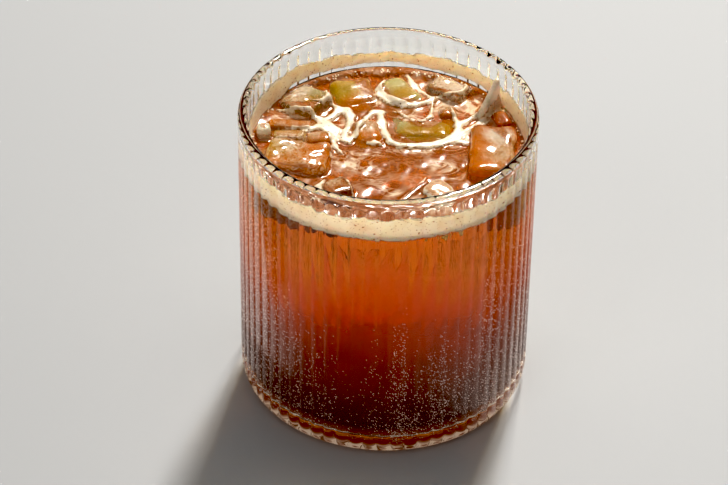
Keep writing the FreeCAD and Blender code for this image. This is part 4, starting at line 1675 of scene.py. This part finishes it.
@dataclass
class Studio:
    """The pale floor, the soft light and the camera."""

    pitch: float = 38.62
    roll: float = 0.86
    distance: float = 842.5
    aim_across: float = -6.14
    aim_height: float = 43.27
    lens: float = 148.35
    floor_size: float = 4.0
    gamma: float = 0.86
    exposure: float = 0.7
    black: float = 0.03
    sky_grey: float = 0.8
    sky_strength: float = 0.3
    bounces: int = 40
    glass_bounces: int = 36
    thin_bounces: int = 16

    LAMPS = (
        Lamp("back_sun", (0.22, 0.85, 1.15), (0, 0, 0.04), 0.16, 0.16, 18.0, (1.0, 0.98, 0.94)),
        Lamp("overhead", (0, -0.1, 1.7), (0, 0, 0), 1.3, 1.3, 2.0),
        Lamp("front_window", (-0.8, -0.9, 0.9), (0, 0, 0.04), 0.5, 0.7, 1.6),
    )

    def build(self, effects: Effects) -> None:
        """Adds the floor, the lamps, the sky and the camera."""
        bpy.ops.object.select_all(action="DESELECT")
        bpy.ops.mesh.primitive_plane_add(size=self.floor_size, location=(0, 0, 0))
        floor = bpy.context.object
        floor.name = "floor"
        floor.data.materials.append(PaleFloor().material(effects))
        for lamp in self.LAMPS:
            lamp.build()
        self.build_sky()
        self.build_camera()
        cycles = bpy.context.scene.cycles
        cycles.max_bounces = self.bounces
        cycles.transmission_bounces = self.glass_bounces
        cycles.transparent_max_bounces = self.thin_bounces
        view = bpy.context.scene.view_settings
        view.view_transform = "Standard"
        view.gamma = self.gamma
        view.exposure = self.exposure
        view.use_curve_mapping = True
        view.curve_mapping.black_level = (self.black, self.black, self.black)
        view.curve_mapping.update()

    def build_sky(self) -> None:
        """A plain even sky."""
        world = bpy.data.worlds.new("soft_sky")
        world.use_nodes = True
        sky = world.node_tree.nodes["Background"]
        sky.inputs["Color"].default_value = (self.sky_grey, self.sky_grey, self.sky_grey, 1.0)
        sky.inputs["Strength"].default_value = self.sky_strength
        bpy.context.scene.world = world

    def build_camera(self) -> None:
        """A long lens that looks down on the drink from the front, rolled by under a degree."""
        pitch = math.radians(self.pitch)
        roll = math.radians(self.roll)
        ahead = Vector((0, math.cos(pitch), -math.sin(pitch)))
        side = Vector((1, 0, 0))
        up = side.cross(ahead)
        across = math.cos(roll) * side + math.sin(roll) * up
        upward = math.cos(roll) * up - math.sin(roll) * side
        place = (Vector((self.aim_across, 0, self.aim_height)) - ahead * self.distance) * MM
        camera = bpy.data.cameras.new("camera")
        camera.lens = self.lens
        holder = bpy.data.objects.new("camera", camera)
        turn = Matrix((across, upward, -ahead)).transposed().to_4x4()
        holder.matrix_world = Matrix.Translation(place) @ turn
        bpy.context.scene.collection.objects.link(holder)
        bpy.context.scene.camera = holder


# ---------------------------------------------------------------- putting it together


def report(piece: bpy.types.Object) -> None:
    """Makes a piece ride on the body, and logs its name and how many faces it has."""
    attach(piece, "root")
    log.info("%s: %d faces", piece.name, len(piece.data.polygons))


def main() -> None:
    """Builds and dresses every part of the drink, then the stage."""
    logging.basicConfig(level=logging.INFO)
    effects = Effects()
    glass_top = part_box("glass_tumbler")[1] / MM
    fill_low, fill_high = (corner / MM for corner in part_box("coffee"))
    tumbler = Tumbler(radius=glass_top.x, height=glass_top.z, cavity=fill_high.x, base=fill_low.z)
    coffee = Coffee(tumbler=tumbler, level=fill_high.z)

    round_parts = (tumbler, coffee, ShadeAndGlowFill(tumbler=tumbler), ShadeAndGlowShell(tumbler=tumbler),
                   FootLightRing(tumbler=tumbler))
    for part in round_parts:
        piece = part.build()
        part.dress(piece, effects)
        report(piece)

    heap = IceHeap(level=coffee.level)
    lumps = heap.build()
    heap.dress(lumps, effects)
    sheet = SurfaceSheet(tumbler=tumbler, coffee=coffee)
    skin = sheet.build(lumps)
    sheet.dress(skin, effects)
    report(skin)
    for lump in lumps:
        report(lump)

    sunk = SunkIce(level=coffee.level)
    cubes = sunk.build()
    sunk.dress(cubes, effects)
    for cube in cubes:
        report(cube)

    foam = Foam(tumbler=tumbler, coffee=coffee)
    froth = [foam.build_band(), foam.build_bubbles()]
    foam.dress(froth, effects)
    for piece in froth:
        report(piece)

    damp = Condensation(tumbler=tumbler)
    beads = damp.build_beads()
    mist_and_sheen = damp.build_mist()
    damp.dress(beads, mist_and_sheen, effects)
    report(beads)
    report(mist_and_sheen)

    Studio().build(effects)


if __name__ == "__main__":
    main()
